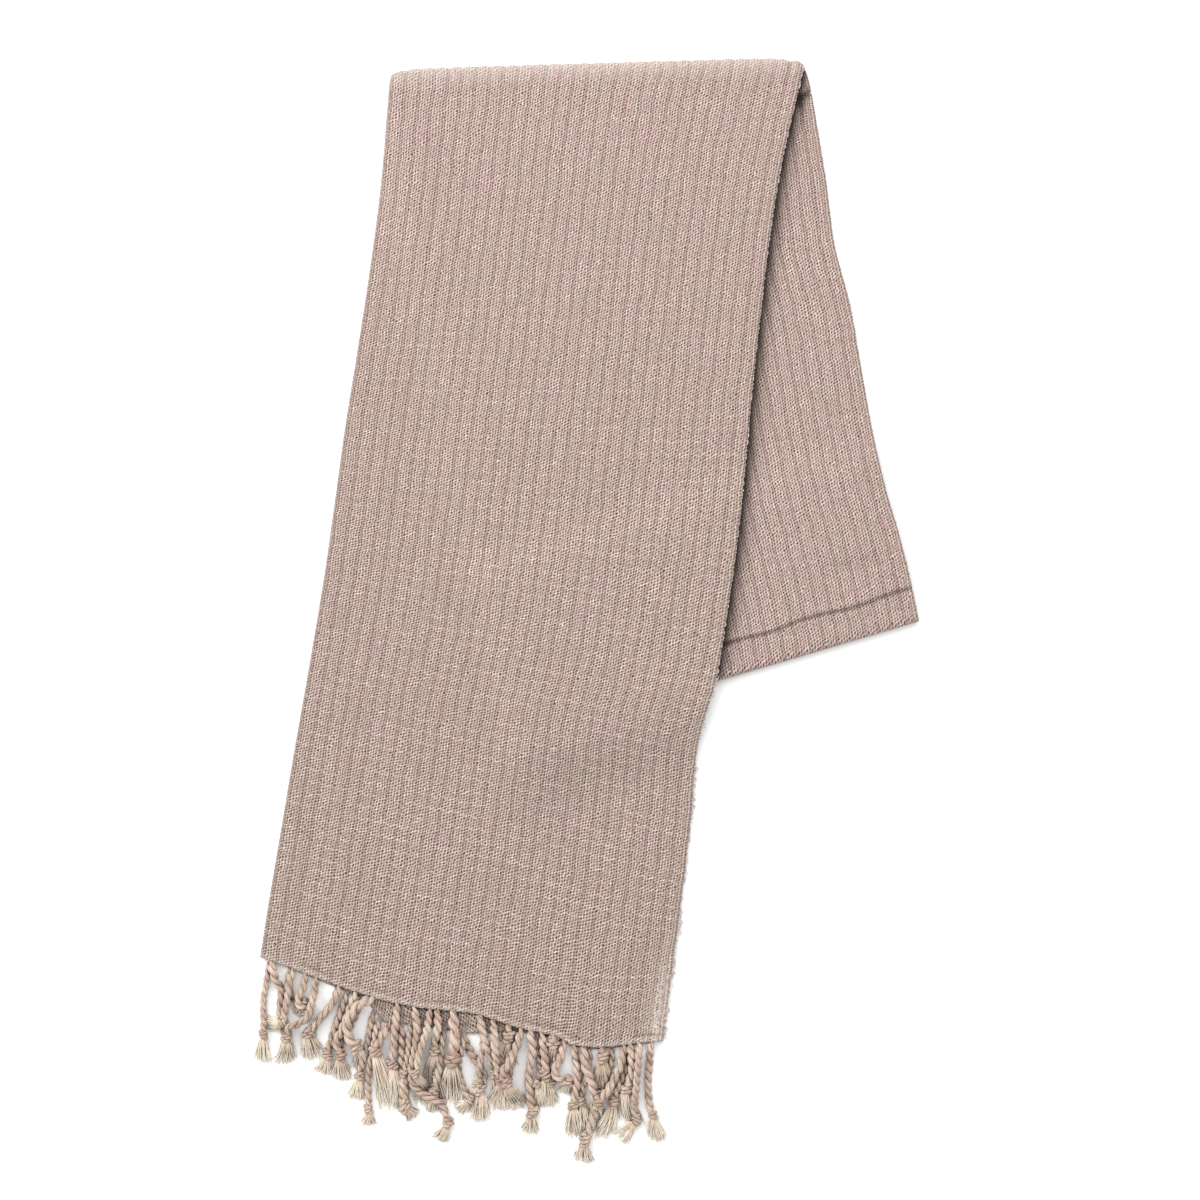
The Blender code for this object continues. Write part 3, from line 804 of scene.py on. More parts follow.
def tie_knot(middle, way, thickness, spin):
    """The plies of a tight knot round a cord that comes in and leaves along `way`."""
    share = np.linspace(-1.0, 1.0, KNOT_STEPS)
    turn = math.pi * KNOT_WRAPS * share + spin
    ahead, side, above = (vector[0] for vector in frames_of(np.array((-way, way))))
    ahead = ahead + side * KNOT_LEAN * math.sin(3.0 * spin)
    bulge = KNOT_RADIUS * thickness * KNOT_BULGE * np.sqrt(1.0 - 0.85 * share ** 2)
    wraps = np.cos(turn)[:, None] * side + np.sin(turn)[:, None] * above
    reach = KNOT_RADIUS * thickness * KNOT_HALF_LENGTH * share
    route = middle + ahead * reach[:, None] + wraps * bulge[:, None]
    return twist_plies(route, KNOT_CORD * thickness, KNOT_TWISTS * math.pi * share)


def loose_tuft(knot, tip, thickness, yarns, rng):
    """Loose yarns that leave a knot, spread and come down to the floor at the tip."""
    length = np.linalg.norm(tip - knot)
    ahead, side, _ = (vector[0] for vector in frames_of(np.array((knot, tip))))
    share = np.linspace(0.0, 1.0, TUFT_STEPS)
    fall = ease(share * 1.25)
    half = TUFT_HALF_WIDTH * thickness * min(1.0, 0.4 + length / (30 * MM))
    bend = rng.normal(0.0, TUFT_BEND) * length
    tubes = []
    for _ in range(yarns):
        place = rng.uniform(-1.0, 1.0)
        round_part = math.sqrt(1.0 - 0.8 * place ** 2)
        layer = rng.random() * round_part
        reach = length * (rng.uniform(*YARN_REACH) - 0.08 * place ** 2)
        wisp = rng.normal(0.0, YARN_WISP) * share ** 2
        wave = YARN_WAVE * np.sin(2 * math.pi * (share * rng.uniform(0.4, 1.1) + rng.random())) * share
        off = place * half * (0.22 + 0.78 * share ** 0.6) + wisp + wave + bend * share ** 2
        start = knot[2] + (layer - 0.5) * 2.2 * MM * thickness
        belly = YARN_RADIUS + TUFT_HEIGHT * thickness * layer * (1.0 - 0.6 * share)
        points = knot + ahead * (reach * share)[:, None] + side * off[:, None]
        points[:, 2] = np.maximum(start * (1.0 - fall) + belly * fall, YARN_RADIUS)
        tubes.append((points, YARN_RADIUS * (1.0 - YARN_TAPER * share), False))
    return tubes


class Pile:
    """What already lies on the floor: points of the cords laid so far and their radii."""

    def __init__(self):
        self.points = np.zeros((0, 3))
        self.radii = np.zeros(0)

    def rest(self, plan, ground, radius):
        """Heights at which a cord of this radius lies along a route, over all that is below it."""
        height = ground + radius
        if len(self.points):
            off = np.linalg.norm(plan[:, None, :] - self.points[None, :, :2], axis=2)
            reach = (radius + self.radii)[None, :]
            lift = np.sqrt(np.maximum(reach ** 2 - off ** 2, 0.0)) * CROSSING_SQUASH
            lifted = np.where(off < reach, self.points[None, :, 2] + lift, 0.0).max(axis=1)
            height = np.maximum(height, lifted)
        return height

    def add(self, points, radius):
        """Lays a cord down."""
        self.points = np.vstack((self.points, points))
        self.radii = np.append(self.radii, np.full(len(points), radius))


def settle(heights, ground, radius):
    """Softens a cord's heights: it bends gently over what it crosses."""
    width = 7
    padded = np.pad(heights, width, mode="edge")
    shifts = range(0, 2 * width + 1, 2)
    highest = np.max([padded[shift:shift + len(heights)] for shift in shifts], axis=0)
    padded = np.pad(highest, width, mode="edge")
    kernel = np.hanning(2 * width + 1)
    soft = np.convolve(padded, kernel / kernel.sum(), mode="valid")
    return np.maximum(np.maximum(soft, heights - 0.4 * radius), ground + radius)


def layer_middle(upper):
    """How high in the strip the middle of its upper or its lower sheet lies."""
    return STRIP_DEPTH - SHEET / 2 if upper else SHEET / 2


def hem_place(number, upper):
    """The middle of the sheet at the front hem, where a strand of one layer is rooted."""
    return lay(np.array([strand_place(number)]), np.array([0.0]), np.array([layer_middle(upper)]))[0]


def front_strands(yarns, rng):
    """The front fringe's cords, knots and tufts, laid one on another from below."""
    pile = Pile()
    cords = []
    knots = []
    tufts = []
    order = sorted(FRONT_STRANDS, key=lambda row: row[1])
    for number, upper, thickness, bends in order:
        root = hem_place(number, upper)
        offsets = np.array(bends, float) * MM * (1.0, -1.0)
        plan = np.vstack(([0.0, 0.0], offsets)) + root[:2]
        lower_edge = hem_place(number, LOWER)[1]
        radius = CORD_RADIUS * thickness
        route = smooth_route(plan[:-1], CORD_STEP)
        route = np.vstack((route[0] + (0.0, ROOT_REACH), route))
        ground = np.where(upper & (route[:, 1] > lower_edge), SHEET, 0.0)
        heights = settle(pile.rest(route, ground, radius), ground, radius)
        rooted = ease(length_along(route) / (8 * MM))
        heights = root[2] * (1.0 - rooted) + heights * rooted
        heights = np.maximum(heights, radius * root_share(length_along(route)))
        points = np.column_stack((route, heights))
        pile.add(points[4:], radius)
        cords += twist_cord(points[:-3], thickness, rng.uniform(0.0, 2 * math.pi))
        knot = points[-1].copy()
        knot[2] = max(knot[2], KNOT_HEIGHT * thickness)
        way = np.append(plan[-1] - plan[-2], 0.0)
        knots += tie_knot(knot, way, thickness, rng.uniform(0.0, 2 * math.pi))
        start = knot + way / np.linalg.norm(way) * KNOT_RADIUS * 0.5
        tufts += loose_tuft(start, np.append(plan[-1], knot[2]), thickness, yarns, rng)
    return cords, knots, tufts


def hidden_strands(yarns, rng):
    """The straight fringe of the end that lies turned under the back leg."""
    cords = []
    thickness = HIDDEN_RADIUS / CORD_RADIUS
    for upper, offset in ((LOWER, 0.25), (UPPER, 0.75)):
        rise = layer_middle(upper)
        for index in range(STRANDS):
            across = strand_place(index + offset)
            length = HIDDEN_LENGTH * HIDDEN_SHARES[index % len(HIDDEN_SHARES)]
            along = CLOTH_LENGTH + np.linspace(-0.5 * MM, length, HIDDEN_STEPS)
            count = np.ones(len(along))
            points = lay(across * count, along, rise * count)
            rooted = ease((along - CLOTH_LENGTH) / (6 * MM))
            points[:, 2] = points[:, 2] * (1.0 - rooted) + (HIDDEN_RADIUS + 0.1 * MM) * rooted
            points[:, 2] = np.maximum(points[:, 2], HIDDEN_RADIUS)
            cords += twist_cord(points[:HIDDEN_CORD_STEPS], thickness, rng.uniform(0.0, 2 * math.pi))
            for _ in range(yarns):
                shift = rng.normal(0.0, 0.8 * MM, 2)
                loose = points[HIDDEN_CORD_STEPS - 2:].copy()
                loose[:, :2] += np.linspace(0.2, 1.0, len(loose))[:, None] * shift
                loose[:, 2] = rng.uniform(0.5, 2.8) * MM
                cords.append((loose, HIDDEN_YARN_RADIUS, False))
    return cords


def selvedge_loops(rng, spacing, reach):
    """Small loops of weft that stand out of the selvedges in tufts, longest beside the front hem."""
    tubes = []
    turn = np.linspace(0.0, math.pi, 7)
    bow = np.sin(turn)
    slow, quick = LOOP_WAVES
    for upper in (UPPER, LOWER):
        rise = layer_middle(upper)
        along = 2 * MM
        while along < CLOTH_LENGTH - 2 * MM:
            frayed = 1.0 - FRAYED_SHARE * ease((along - FRAYED_LENGTH) / FRAYED_FADE)
            tuft = 0.55 + 0.45 * math.sin(along * slow) * math.sin(along * quick + rise / SHEET)
            out = reach * frayed * (0.1 + 1.5 * tuft * rng.uniform(0.0, 1.0) ** 1.8)
            half = spacing * rng.uniform(*LOOP_WIDTHS)
            lean = rng.uniform(-0.6, 0.6) * out * bow
            across = STRIP_WIDTH - LOOP_ROOT + (out + LOOP_ROOT) * bow
            places = along + half * np.cos(turn) + lean
            height = rise + rng.uniform(-0.4, 0.6) * MM * bow
            tubes.append((lay(across, places, height), LOOP_RADIUS, False))
            along += spacing * rng.uniform(*LOOP_STEPS)
    return tubes


# ------------------------------------------------------------------ materials


def add(tree, kind, links=(), **settings):
    """Adds a node with its settings. links gives its inputs, by number or by name, a value, another
    node's output, or another node, whose first output in use is meant.
    """
    node = tree.nodes.new("ShaderNode" + kind)
    for name, value in settings.items():
        setattr(node, name, value)
    for key, source in links.items() if isinstance(links, dict) else enumerate(links):
        if isinstance(source, bpy.types.Node):
            source = next(socket for socket in source.outputs if socket.enabled)
        if isinstance(source, bpy.types.NodeSocket):
            tree.links.new(source, node.inputs[key])
        else:
            node.inputs[key].default_value = source
    return node


def new_material(name):
    """An empty material with a Principled shader and an output."""
    material = bpy.data.materials.new(name)
    material.use_nodes = True
    tree = material.node_tree
    tree.nodes.clear()
    shader = add(tree, "BsdfPrincipled")
    add(tree, "OutputMaterial", {"Surface": shader})
    return material, tree, shader


def wander(tree, plan, cloth):
    """The flat plan, with its places strayed softly, and then strayed at single crossings as well."""
    strayed = [plan]
    for patch, detail, roughness, drift in ((THREAD_PATCH, 5.0, 0.62, cloth.thread_drift),
                                            (CROSSING_PATCH, 1.0, 0.5, cloth.crossing_drift)):
        stray = add(tree, "TexNoise",
                    {"Vector": plan, "Scale": 1 / patch, "Detail": detail, "Roughness": roughness})
        stray = add(tree, "VectorMath", (stray.outputs["Color"], (0.5, 0.5, 0.5)), operation="SUBTRACT")
        stray = add(tree, "VectorMath", {0: stray, "Scale": drift}, operation="SCALE")
        strayed.append(add(tree, "VectorMath", (strayed[-1], stray), operation="ADD"))
    return strayed[1:]


def thread_crossings(tree, knit, cloth):
    """The threads' pattern, as pebble, dimple, speck and fleck.

    pebble is above 0 where a warp thread lies over a weft one and below 0 where it lies under it.
    dimple is below 0 in the dimple between four threads and above 0 on the threads round it. speck
    is each crossing's own shade, and fleck that of each quarter of it. A thread's dimples are a
    little higher than its left neighbour's, so that they line up into short slanting dashes.
    """
    # Each thread stands for a few yarns, which are too fine to show, and is as coarse as they look.
    threads = (cloth.rib_threads / RIB_PITCH, cloth.cell_wefts / cloth.cell_length, 0.0)
    along = add(tree, "VectorMath", (knit, (-cloth.slant, 1.0, 0.0)), operation="DOT_PRODUCT")
    crossing = add(tree, "SeparateXYZ", (knit,)).outputs["X"]
    crossing = add(tree, "CombineXYZ", {"X": crossing, "Y": along})
    crossing = add(tree, "VectorMath", (crossing, threads), operation="MULTIPLY")
    thread = add(tree, "VectorMath", {0: crossing, "Scale": math.pi}, operation="SCALE")
    thread = add(tree, "VectorMath", (thread,), operation="SINE")
    thread = add(tree, "SeparateXYZ", (thread,))
    pebble = add(tree, "Math", (thread.outputs["X"], thread.outputs["Y"]), operation="MULTIPLY")
    dimple = add(tree, "Math", (pebble,), operation="ABSOLUTE")
    dimple = add(tree, "Math", (4 / math.pi ** 2, dimple), operation="SUBTRACT")
    specks = []
    for parts in (1.0, 2.0):
        cell = add(tree, "VectorMath", {0: crossing, "Scale": parts}, operation="SCALE")
        cell = add(tree, "VectorMath", (cell,), operation="FLOOR")
        specks.append(add(tree, "TexWhiteNoise", {"Vector": cell}, noise_dimensions="2D"))
    speck, fleck = specks
    depth = add(tree, "Math", (speck, cloth.dimple_variety, cloth.dimple_contrast),
                operation="MULTIPLY_ADD")
    dimple = add(tree, "Math", (dimple, depth), operation="MULTIPLY")
    return pebble, dimple, speck, fleck


def ribs_and_floats(tree, across, level, cloth):
    """The ribs' wave, and that of the floating wefts: once in each cell, and bowed on the ribs."""
    turn = add(tree, "Math", (across, 2 * math.pi / RIB_PITCH, -math.pi / 2), operation="MULTIPLY_ADD")
    rib = add(tree, "Math", (turn,), operation="SINE")
    turn = add(tree, "Math", (level, 2 * math.pi / cloth.cell_length), operation="MULTIPLY")
    turn = add(tree, "Math", (rib, cloth.weft_bow, turn), operation="MULTIPLY_ADD")
    return rib, add(tree, "Math", (turn,), operation="SINE")


def washed_tint(tree, plan, down, groove, cloth):
    """Pinker and more beige patches, drawn out along the warp, and pinker towards the top fold."""
    stretch = add(tree, "VectorMath", (plan, (1.0, 0.4, 1.0)), operation="MULTIPLY")
    patch = add(tree, "TexNoise",
                {"Vector": stretch, "Scale": 1 / WASHED_PATCH, "Detail": 5.0, "Roughness": 0.75})
    patch = add(tree, "MapRange", {"Value": patch, "From Min": 0.38, "From Max": 0.62})
    patch = add(tree, "Math", (groove, 0.3, patch), operation="MULTIPLY_ADD")
    washed = add(tree, "MapRange", {"Value": down, "From Max": 0.6, "To Min": -0.35, "To Max": 0.15})
    patch = add(tree, "Math", (patch, washed), operation="ADD", use_clamp=True)
    return add(tree, "Mix", {"Factor": patch, "A": cloth.beige_tint, "B": cloth.pink_tint},
               data_type="RGBA")


def pale_edges_and_fold_shade(tree, across, level, down, seen, fleck, cloth):
    """How pale the edges are, and how dark the lines of painted shade along the folds beside them."""
    where = add(tree, "TexCoord").outputs["Object"]
    height = add(tree, "VectorMath", (where, (*FOLD_OUT, 0.0)), operation="DOT_PRODUCT")
    top = FOLD_MIDDLE @ FOLD_OUT + STRIP_DEPTH
    side = add(tree, "Math", (across, RIB_PITCH / 2), operation="ADD")
    side = add(tree, "Math", (side,), operation="ABSOLUTE")
    selvedge = rib_place(RIBS) - STRIP_DEPTH / 2 + RIB_PITCH / 2

    # What each pale part is measured by, where it starts, where it is full, and how pale it is there:
    # the top fold, where the paleness is a painted highlight, the selvedges' and the hem's lips, and the
    # selvedges' frays, which are near the hem and are real wear.
    pale_parts = []
    for value, start, full, most in (
        (height, top - cloth.fold_highlight_reach, top, cloth.fold_highlight_share),
        (side, selvedge - 0.0035, selvedge - 0.0005, 0.15),
        (level, 0.0036, 0.0014, 0.2),
        (side, selvedge - 0.013, selvedge - 0.004, 1.0),
        (down, 0.070, 0.020, 1.1),
    ):
        pale_parts.append(
            add(tree, "MapRange", {"Value": value, "From Min": start, "From Max": full, "To Max": most})
        )
    edge, pale, lip, frayed, near_hem = pale_parts
    for mask in (near_hem, fleck):
        frayed = add(tree, "Math", (frayed, mask), operation="MULTIPLY")
    for pale_part in (pale, lip, frayed):
        edge = add(tree, "Math", (edge, pale_part), operation="MAXIMUM")

    # Painted shade: a line along the fold beside the rolled selvedge, and one along the hem's fold,
    # which comes and goes.
    side = add(tree, "Math", (side, selvedge - SELVEDGE_FOLD_SHADE, FOLD_SHADE_HALF_WIDTH), operation="COMPARE")
    rolled = add(tree, "Math", (level, HEM_FOLD_SHADE, FOLD_SHADE_HALF_WIDTH), operation="COMPARE")
    for operation, source in (("MULTIPLY", seen), ("MULTIPLY", HEM_FOLD_SHADE_SHARE),
                              ("MAXIMUM", side), ("MULTIPLY", cloth.painted_roll_shade)):
        rolled = add(tree, "Math", (rolled, source), operation=operation)
    return edge, rolled


def woven_cotton(cloth):
    """Hand-loomed cotton, garment-washed: dull, with pebbly threads, and pinker in its grooves."""
    material, tree, shader = new_material("woven_cotton")
    plan = add(tree, "UVMap", uv_map="weave")
    down = add(tree, "SeparateXYZ", (plan,)).outputs["Y"]
    place, knit = wander(tree, plan, cloth)
    place = add(tree, "SeparateXYZ", (place,))
    across = place.outputs["X"]
    level = place.outputs["Y"]
    pebble, dimple, speck, fleck = thread_crossings(tree, knit, cloth)
    rib, pick = ribs_and_floats(tree, across, level, cloth)

    # The floating wefts show here and there, more of them towards the front hem.
    seen = add(tree, "TexNoise", {"Vector": plan, "Scale": 1 / FLOAT_PATCH, "Detail": 2.0})
    seen = add(tree, "MapRange", {"Value": seen, "From Min": 0.42, "From Max": 0.56})
    worn = add(tree, "MapRange",
               {"Value": down, "From Min": 0.50, "From Max": 0.12, "To Min": 0.3, "To Max": 1.0})
    line = add(tree, "MapRange", {"Value": pick, "From Min": 0.88, "From Max": 1.0},
               interpolation_type="SMOOTHSTEP")
    for mask in (seen, worn):
        line = add(tree, "Math", (line, mask), operation="MULTIPLY")

    # The grooves between the ribs are pitted and darker: partly the weave's dark pits, partly painted
    # shade in the recess.
    groove = add(tree, "MapRange", {"Value": rib, "From Min": -0.55, "From Max": -1.0},
                 interpolation_type="SMOOTHSTEP")
    pit_and_shade = add(tree, "Math", (pick, -0.1, 0.15), operation="MULTIPLY_ADD")
    pit_and_shade = add(tree, "Math", (fleck, 1.4, pit_and_shade), operation="MULTIPLY_ADD")
    pit_and_shade = add(tree, "Math", (pit_and_shade, groove), operation="MULTIPLY")

    # Shade: 0 is the darkest yarn and 1 the lightest. The cloth is a little darker towards its hem.
    shade = add(tree, "MapRange",
                {"Value": down, "From Max": FRONT_LENGTH, "To Min": cloth.shade - cloth.hem_shade,
                 "To Max": cloth.shade})
    for source, weight in ((dimple, 1.0), (pebble, cloth.pebble_contrast),
                           (speck, cloth.speck_contrast), (fleck, cloth.fleck_contrast),
                           (line, cloth.weft_contrast), (pit_and_shade, -cloth.groove_contrast)):
        shade = add(tree, "Math", (source, weight, shade), operation="MULTIPLY_ADD")
    yarn = add(tree, "ValToRGB", {"Fac": shade})
    ramp = yarn.color_ramp.elements
    ramp[0].color = cloth.dark_yarn
    ramp[1].color = cloth.light_yarn
    ramp.new(0.5).color = cloth.yarn
    tint = washed_tint(tree, plan, down, groove, cloth)
    colour = add(tree, "Mix", {"Factor": 1.0, "A": yarn, "B": tint}, data_type="RGBA",
                 blend_type="MULTIPLY")

    # Pale edges, painted shade along the folds of the rolled edges and painted shade in the creases lie
    # over that; the top fold's paleness is a painted highlight and the frays are real wear. Shade is
    # also painted where other cloth stands close, apart from the front hem, which the light reaches.
    edge, rolled = pale_edges_and_fold_shade(tree, across, level, down, seen, fleck, cloth)
    painted_crease_mask = add(tree, "Attribute", attribute_name="painted_crease_mask").outputs["Fac"]
    painted_crease_mask = add(tree, "Math", (painted_crease_mask, cloth.painted_crease_shade), operation="MULTIPLY")
    for mask, over in ((edge, cloth.wear_and_highlight_yarn), (rolled, cloth.painted_fold_shade_yarn), (painted_crease_mask, cloth.painted_shade)):
        colour = add(tree, "Mix", {"Factor": mask, "A": colour, "B": over}, data_type="RGBA")
    lit = add(tree, "MapRange", {"Value": down, "From Min": 0.03, "From Max": 0.0, "To Max": 0.55})
    colour = paint_hollow_shade(tree, colour, cloth.painted_shade, (CLOTH_SHADE_REACH, 0.50, 0.94, 1.95), lit)

    # Relief: threads, floating wefts and grooves.
    height = add(tree, "Math", (line, 0.6, dimple), operation="MULTIPLY_ADD")
    height = add(tree, "Math", (pit_and_shade, -0.3, height), operation="MULTIPLY_ADD")
    bump = add(tree, "Bump", {"Height": height, "Distance": cloth.thread_relief})
    tree.links.new(colour.outputs["Result"], shader.inputs["Base Color"])
    tree.links.new(bump.outputs["Normal"], shader.inputs["Normal"])
    shader.inputs["Roughness"].default_value = 0.93
    shader.inputs["IOR"].default_value = 1.47
    shader.inputs["Specular IOR Level"].default_value = 0.25
    shader.inputs["Sheen Weight"].default_value = 0.08
    shader.inputs["Sheen Roughness"].default_value = 0.6
    return material


def paint_hollow_shade(tree, colour, painted_shade, reach, lit=0.0):
    """Paints shade into a colour where other yarn or cloth stands close around it.

    reach holds how far away it counts, the shares of open air that leave the colour at its darkest
    and unchanged, and how slowly the shade fades between them. Faces that look sideways, like the
    folded edge's, count as more open, and so do those that `lit` is above 0 for.
    """
    distance, deep, clear, slow = reach
    open_air = add(tree, "AmbientOcclusion", {"Distance": distance}, samples=8).outputs["AO"]
    facing = add(tree, "NewGeometry").outputs["Normal"]
    facing = add(tree, "SeparateXYZ", (facing,)).outputs["Z"]
    facing = add(tree, "MapRange", {"Value": facing, "From Max": 0.8, "To Min": 0.4, "To Max": 0.0})
    for extra in (facing, lit):
        open_air = add(tree, "Math", (open_air, extra), operation="ADD")
    open_air = add(tree, "MapRange", {"Value": open_air, "From Min": deep, "From Max": clear})
    open_air = add(tree, "Math", (open_air, slow), operation="POWER")
    return add(tree, "Mix", {"Factor": open_air, "A": painted_shade, "B": colour}, data_type="RGBA")


def cotton_yarn(name, colours, fibres, relief, tips):
    """Soft cotton yarn: dull, with fibres along each ply, paler worn stretches and painted shade in its
    hollows.

    colours are those of the painted shade in the hollows, the darker yarn, the paler yarn and the tips,
    and tips is how far the last one takes over towards a yarn's end. Real fibres are too fine to show,
    so a ply has only a few, drawn as coarse as that makes them.
    """
    painted_shade, dark, pale, tip = colours
    material, tree, shader = new_material(name)
    place = add(tree, "TexCoord").outputs["Object"]
    tube = add(tree, "UVMap", uv_map="UVMap")
    tube = add(tree, "SeparateXYZ", (tube,))
    drift = add(tree, "TexNoise", {"Vector": place, "Scale": 1 / FIBRE_PATCH, "Detail": 3.0})
    turn = add(tree, "Math", (drift, 9.0), operation="MULTIPLY")
    turn = add(tree, "Math", (tube.outputs["Y"], 2 * math.pi * fibres, turn), operation="MULTIPLY_ADD")
    fibre = add(tree, "Math", (turn,), operation="SINE")
    patch = add(tree, "TexNoise", {"Vector": place, "Scale": 1 / WORN_PATCH, "Detail": 4.0})
    shade = add(tree, "MapRange", {"Value": patch, "From Min": 0.33, "From Max": 0.67})
    shade = add(tree, "Math", (fibre, 0.25, shade), operation="MULTIPLY_ADD", use_clamp=True)
    yarn = add(tree, "Mix", {"Factor": shade, "A": dark, "B": pale}, data_type="RGBA")
    stretch = add(tree, "TexNoise", {"Vector": place, "Scale": 1 / TINT_PATCH, "Detail": 3.0})
    stretch = add(tree, "MapRange", {"Value": stretch, "From Min": 0.4, "From Max": 0.6})
    tint = add(tree, "Mix", {"Factor": stretch, "A": linear(YELLOWER), "B": linear(PINKER)},
               data_type="RGBA")
    yarn = add(tree, "Mix", {"Factor": 1.0, "A": yarn, "B": tint}, data_type="RGBA",
               blend_type="MULTIPLY")
    end = add(tree, "Math", (tube.outputs["X"], tips), operation="MULTIPLY")
    yarn = add(tree, "Mix", {"Factor": end, "A": yarn, "B": tip}, data_type="RGBA")
    # Shade is painted where other yarn stands close.
    yarn = paint_hollow_shade(tree, yarn, painted_shade, (YARN_SHADE_REACH, 0.18, 0.70, 1.0))
    bump = add(tree, "Bump", {"Height": fibre, "Distance": relief})
    tree.links.new(yarn.outputs["Result"], shader.inputs["Base Color"])
    tree.links.new(bump.outputs["Normal"], shader.inputs["Normal"])
    shader.inputs["Roughness"].default_value = 0.9
    shader.inputs["IOR"].default_value = 1.47
    shader.inputs["Specular IOR Level"].default_value = 0.3
    shader.inputs["Sheen Weight"].default_value = 0.1
    shader.inputs["Sheen Roughness"].default_value = 0.5
    return material


def matt_paper(name, colour):
    """Seamless backdrop paper: matt and pale, with a faint tooth."""
    material, tree, shader = new_material(name)
    place = add(tree, "TexCoord").outputs["Object"]
    tooth = add(tree, "TexNoise", {"Vector": place, "Scale": 1 / TOOTH_PATCH, "Detail": 2.0})
    bump = add(tree, "Bump", {"Height": tooth, "Distance": 0.00002, "Strength": 0.3})
    tree.links.new(bump.outputs["Normal"], shader.inputs["Normal"])
    shader.inputs["Base Color"].default_value = colour
    shader.inputs["Roughness"].default_value = 1.0
    shader.inputs["Specular IOR Level"].default_value = 0.1
    return material


def show(mesh, material):
    """Makes a mesh with one material an object at the origin."""
    mesh.materials.clear()
    mesh.materials.append(material)
    made = bpy.data.objects.new(mesh.name, mesh)
    bpy.context.scene.collection.objects.link(made)
    return made


# ------------------------------------------------------------------ what a user can change


def share_field(name, description, default, most=1.0):
    """A share or a factor that a user can change."""
    return bpy.props.FloatProperty(name=name, description=description, default=default,
                                   min=0.0, max=most, subtype="FACTOR")


def unit_field(name, description, default, kind="LENGTH", least=0.0):
    """A length, or another measure with a unit, that a user can change."""
    return bpy.props.FloatProperty(name=name, description=description, default=default, min=least,
                                   precision=4, unit=kind)


def count_field(name, description, default, most=12):
    """A number of threads or yarns that a user can change."""
    return bpy.props.IntProperty(name=name, description=description, default=default, min=2, max=most)


def colour_field(name, description, hex_colour):
    """A colour that a user can change."""
    return bpy.props.FloatVectorProperty(name=name, description=description, default=linear(hex_colour),
                                         size=4, min=0.0, max=1.0, subtype="COLOR")


class TowelCloth(bpy.types.PropertyGroup):
    """Sizes and colours of the woven cloth."""

    rib_relief: share_field("Rib relief", "Times the common height of the ribs", 1.0, 2.0)
    rib_threads: count_field("Warps in a rib", "Warp threads across one rib", 5)
    cell_length: unit_field("Cell length", "Distance between the floating wefts", 0.0074)
    cell_wefts: count_field("Wefts in a cell", "Weft threads from one floating weft to the next", 4)
    thread_drift: unit_field("Thread drift", "How far the threads stray from straight lines", 0.0036)
    crossing_drift: unit_field("Crossing drift", "How far single crossings stray beyond that", 0.0014)
    thread_relief: unit_field("Thread relief", "Height of the threads above the cloth", 0.0004)
    loop_reach: unit_field("Loop reach", "How far the weft loops stand out of the selvedge", 0.0028)
    loop_spacing: unit_field("Loop spacing", "Mean distance between the weft loops", 0.0030)
    slant: share_field("Slant", "Rise of a weft's crossings, as a share of the way across", 0.5)
    weft_bow: unit_field("Weft bow", "How far the floating wefts bow on a rib", 0.5, "ROTATION")
    # Painted highlight on the top fold: how far it reaches and how strong it is.
    fold_highlight_reach: unit_field("Worn reach", "How far the pale worn edge reaches from the top fold", 0.013)
    fold_highlight_share: share_field("Wear", "How worn the top fold is", 0.45)
    # Painted shade in the creases.
    painted_crease_shade: share_field("Crease shade", "How dark the creases are", 0.24)
    # Painted shade along the folds of the rolled selvedge and hem.
    painted_roll_shade: share_field("Roll shade", "How dark the line beside the rolled edges is", 0.24)
    shade: share_field("Shade", "The cloth's common shade, from dark to light", 0.435)
    hem_shade: share_field("Hem shade", "How much darker the cloth is at the front hem", 0.03)
    dimple_contrast: share_field("Dimple contrast", "How much darker the faintest dimples are", 0.45)
    dimple_variety: share_field("Dimple variety", "How much that contrast differs between dimples", 0.70)
    pebble_contrast: share_field("Crossing contrast", "How much paler the warp is than the weft", 0.07)
    speck_contrast: share_field("Speck contrast", "How much the thread crossings differ", 0.05)
    fleck_contrast: share_field("Fleck contrast", "How much the parts of a crossing differ", 0.10)
    weft_contrast: share_field("Floating weft contrast", "How much paler the floating wefts are", 0.20)
    # The grooves' darkening is partly painted shade.
    groove_contrast: share_field("Groove contrast", "How much darker the grooves are", 0.105)
    dark_yarn: colour_field("Dark yarn", "The gaps between threads", "42352F")
    yarn: colour_field("Yarn", "The common shade of the threads", "938482")
    light_yarn: colour_field("Light yarn", "The lightest thread crossings", "DBD0CC")
    loop_yarn: colour_field("Loop yarn", "The weft loops at the selvedges", "F6F0EA")
    # The pale edges take this colour: a painted highlight on the top fold, paler lips and real wear at
    # the frays. The selvedge loops take it as their painted shade.
    wear_and_highlight_yarn: colour_field("Worn yarn", "The worn edges", "BEB3AA")
    # Painted shade along the folds of the rolled edges.
    painted_fold_shade_yarn: colour_field("Rolled yarn", "The line beside the rolled edges", "6B4C38")
    # Painted shade: the colour under a hem, beside an edge and in the creases.
    painted_shade: colour_field("Hollow", "The cloth under a hem or beside an edge", "2C211B")
    pink_tint: colour_field("Pink tint", "Tint of the grooves and the pinker patches", "FFF0EB")
    beige_tint: colour_field("Beige tint", "Tint of the more beige patches", "FAF5E8")


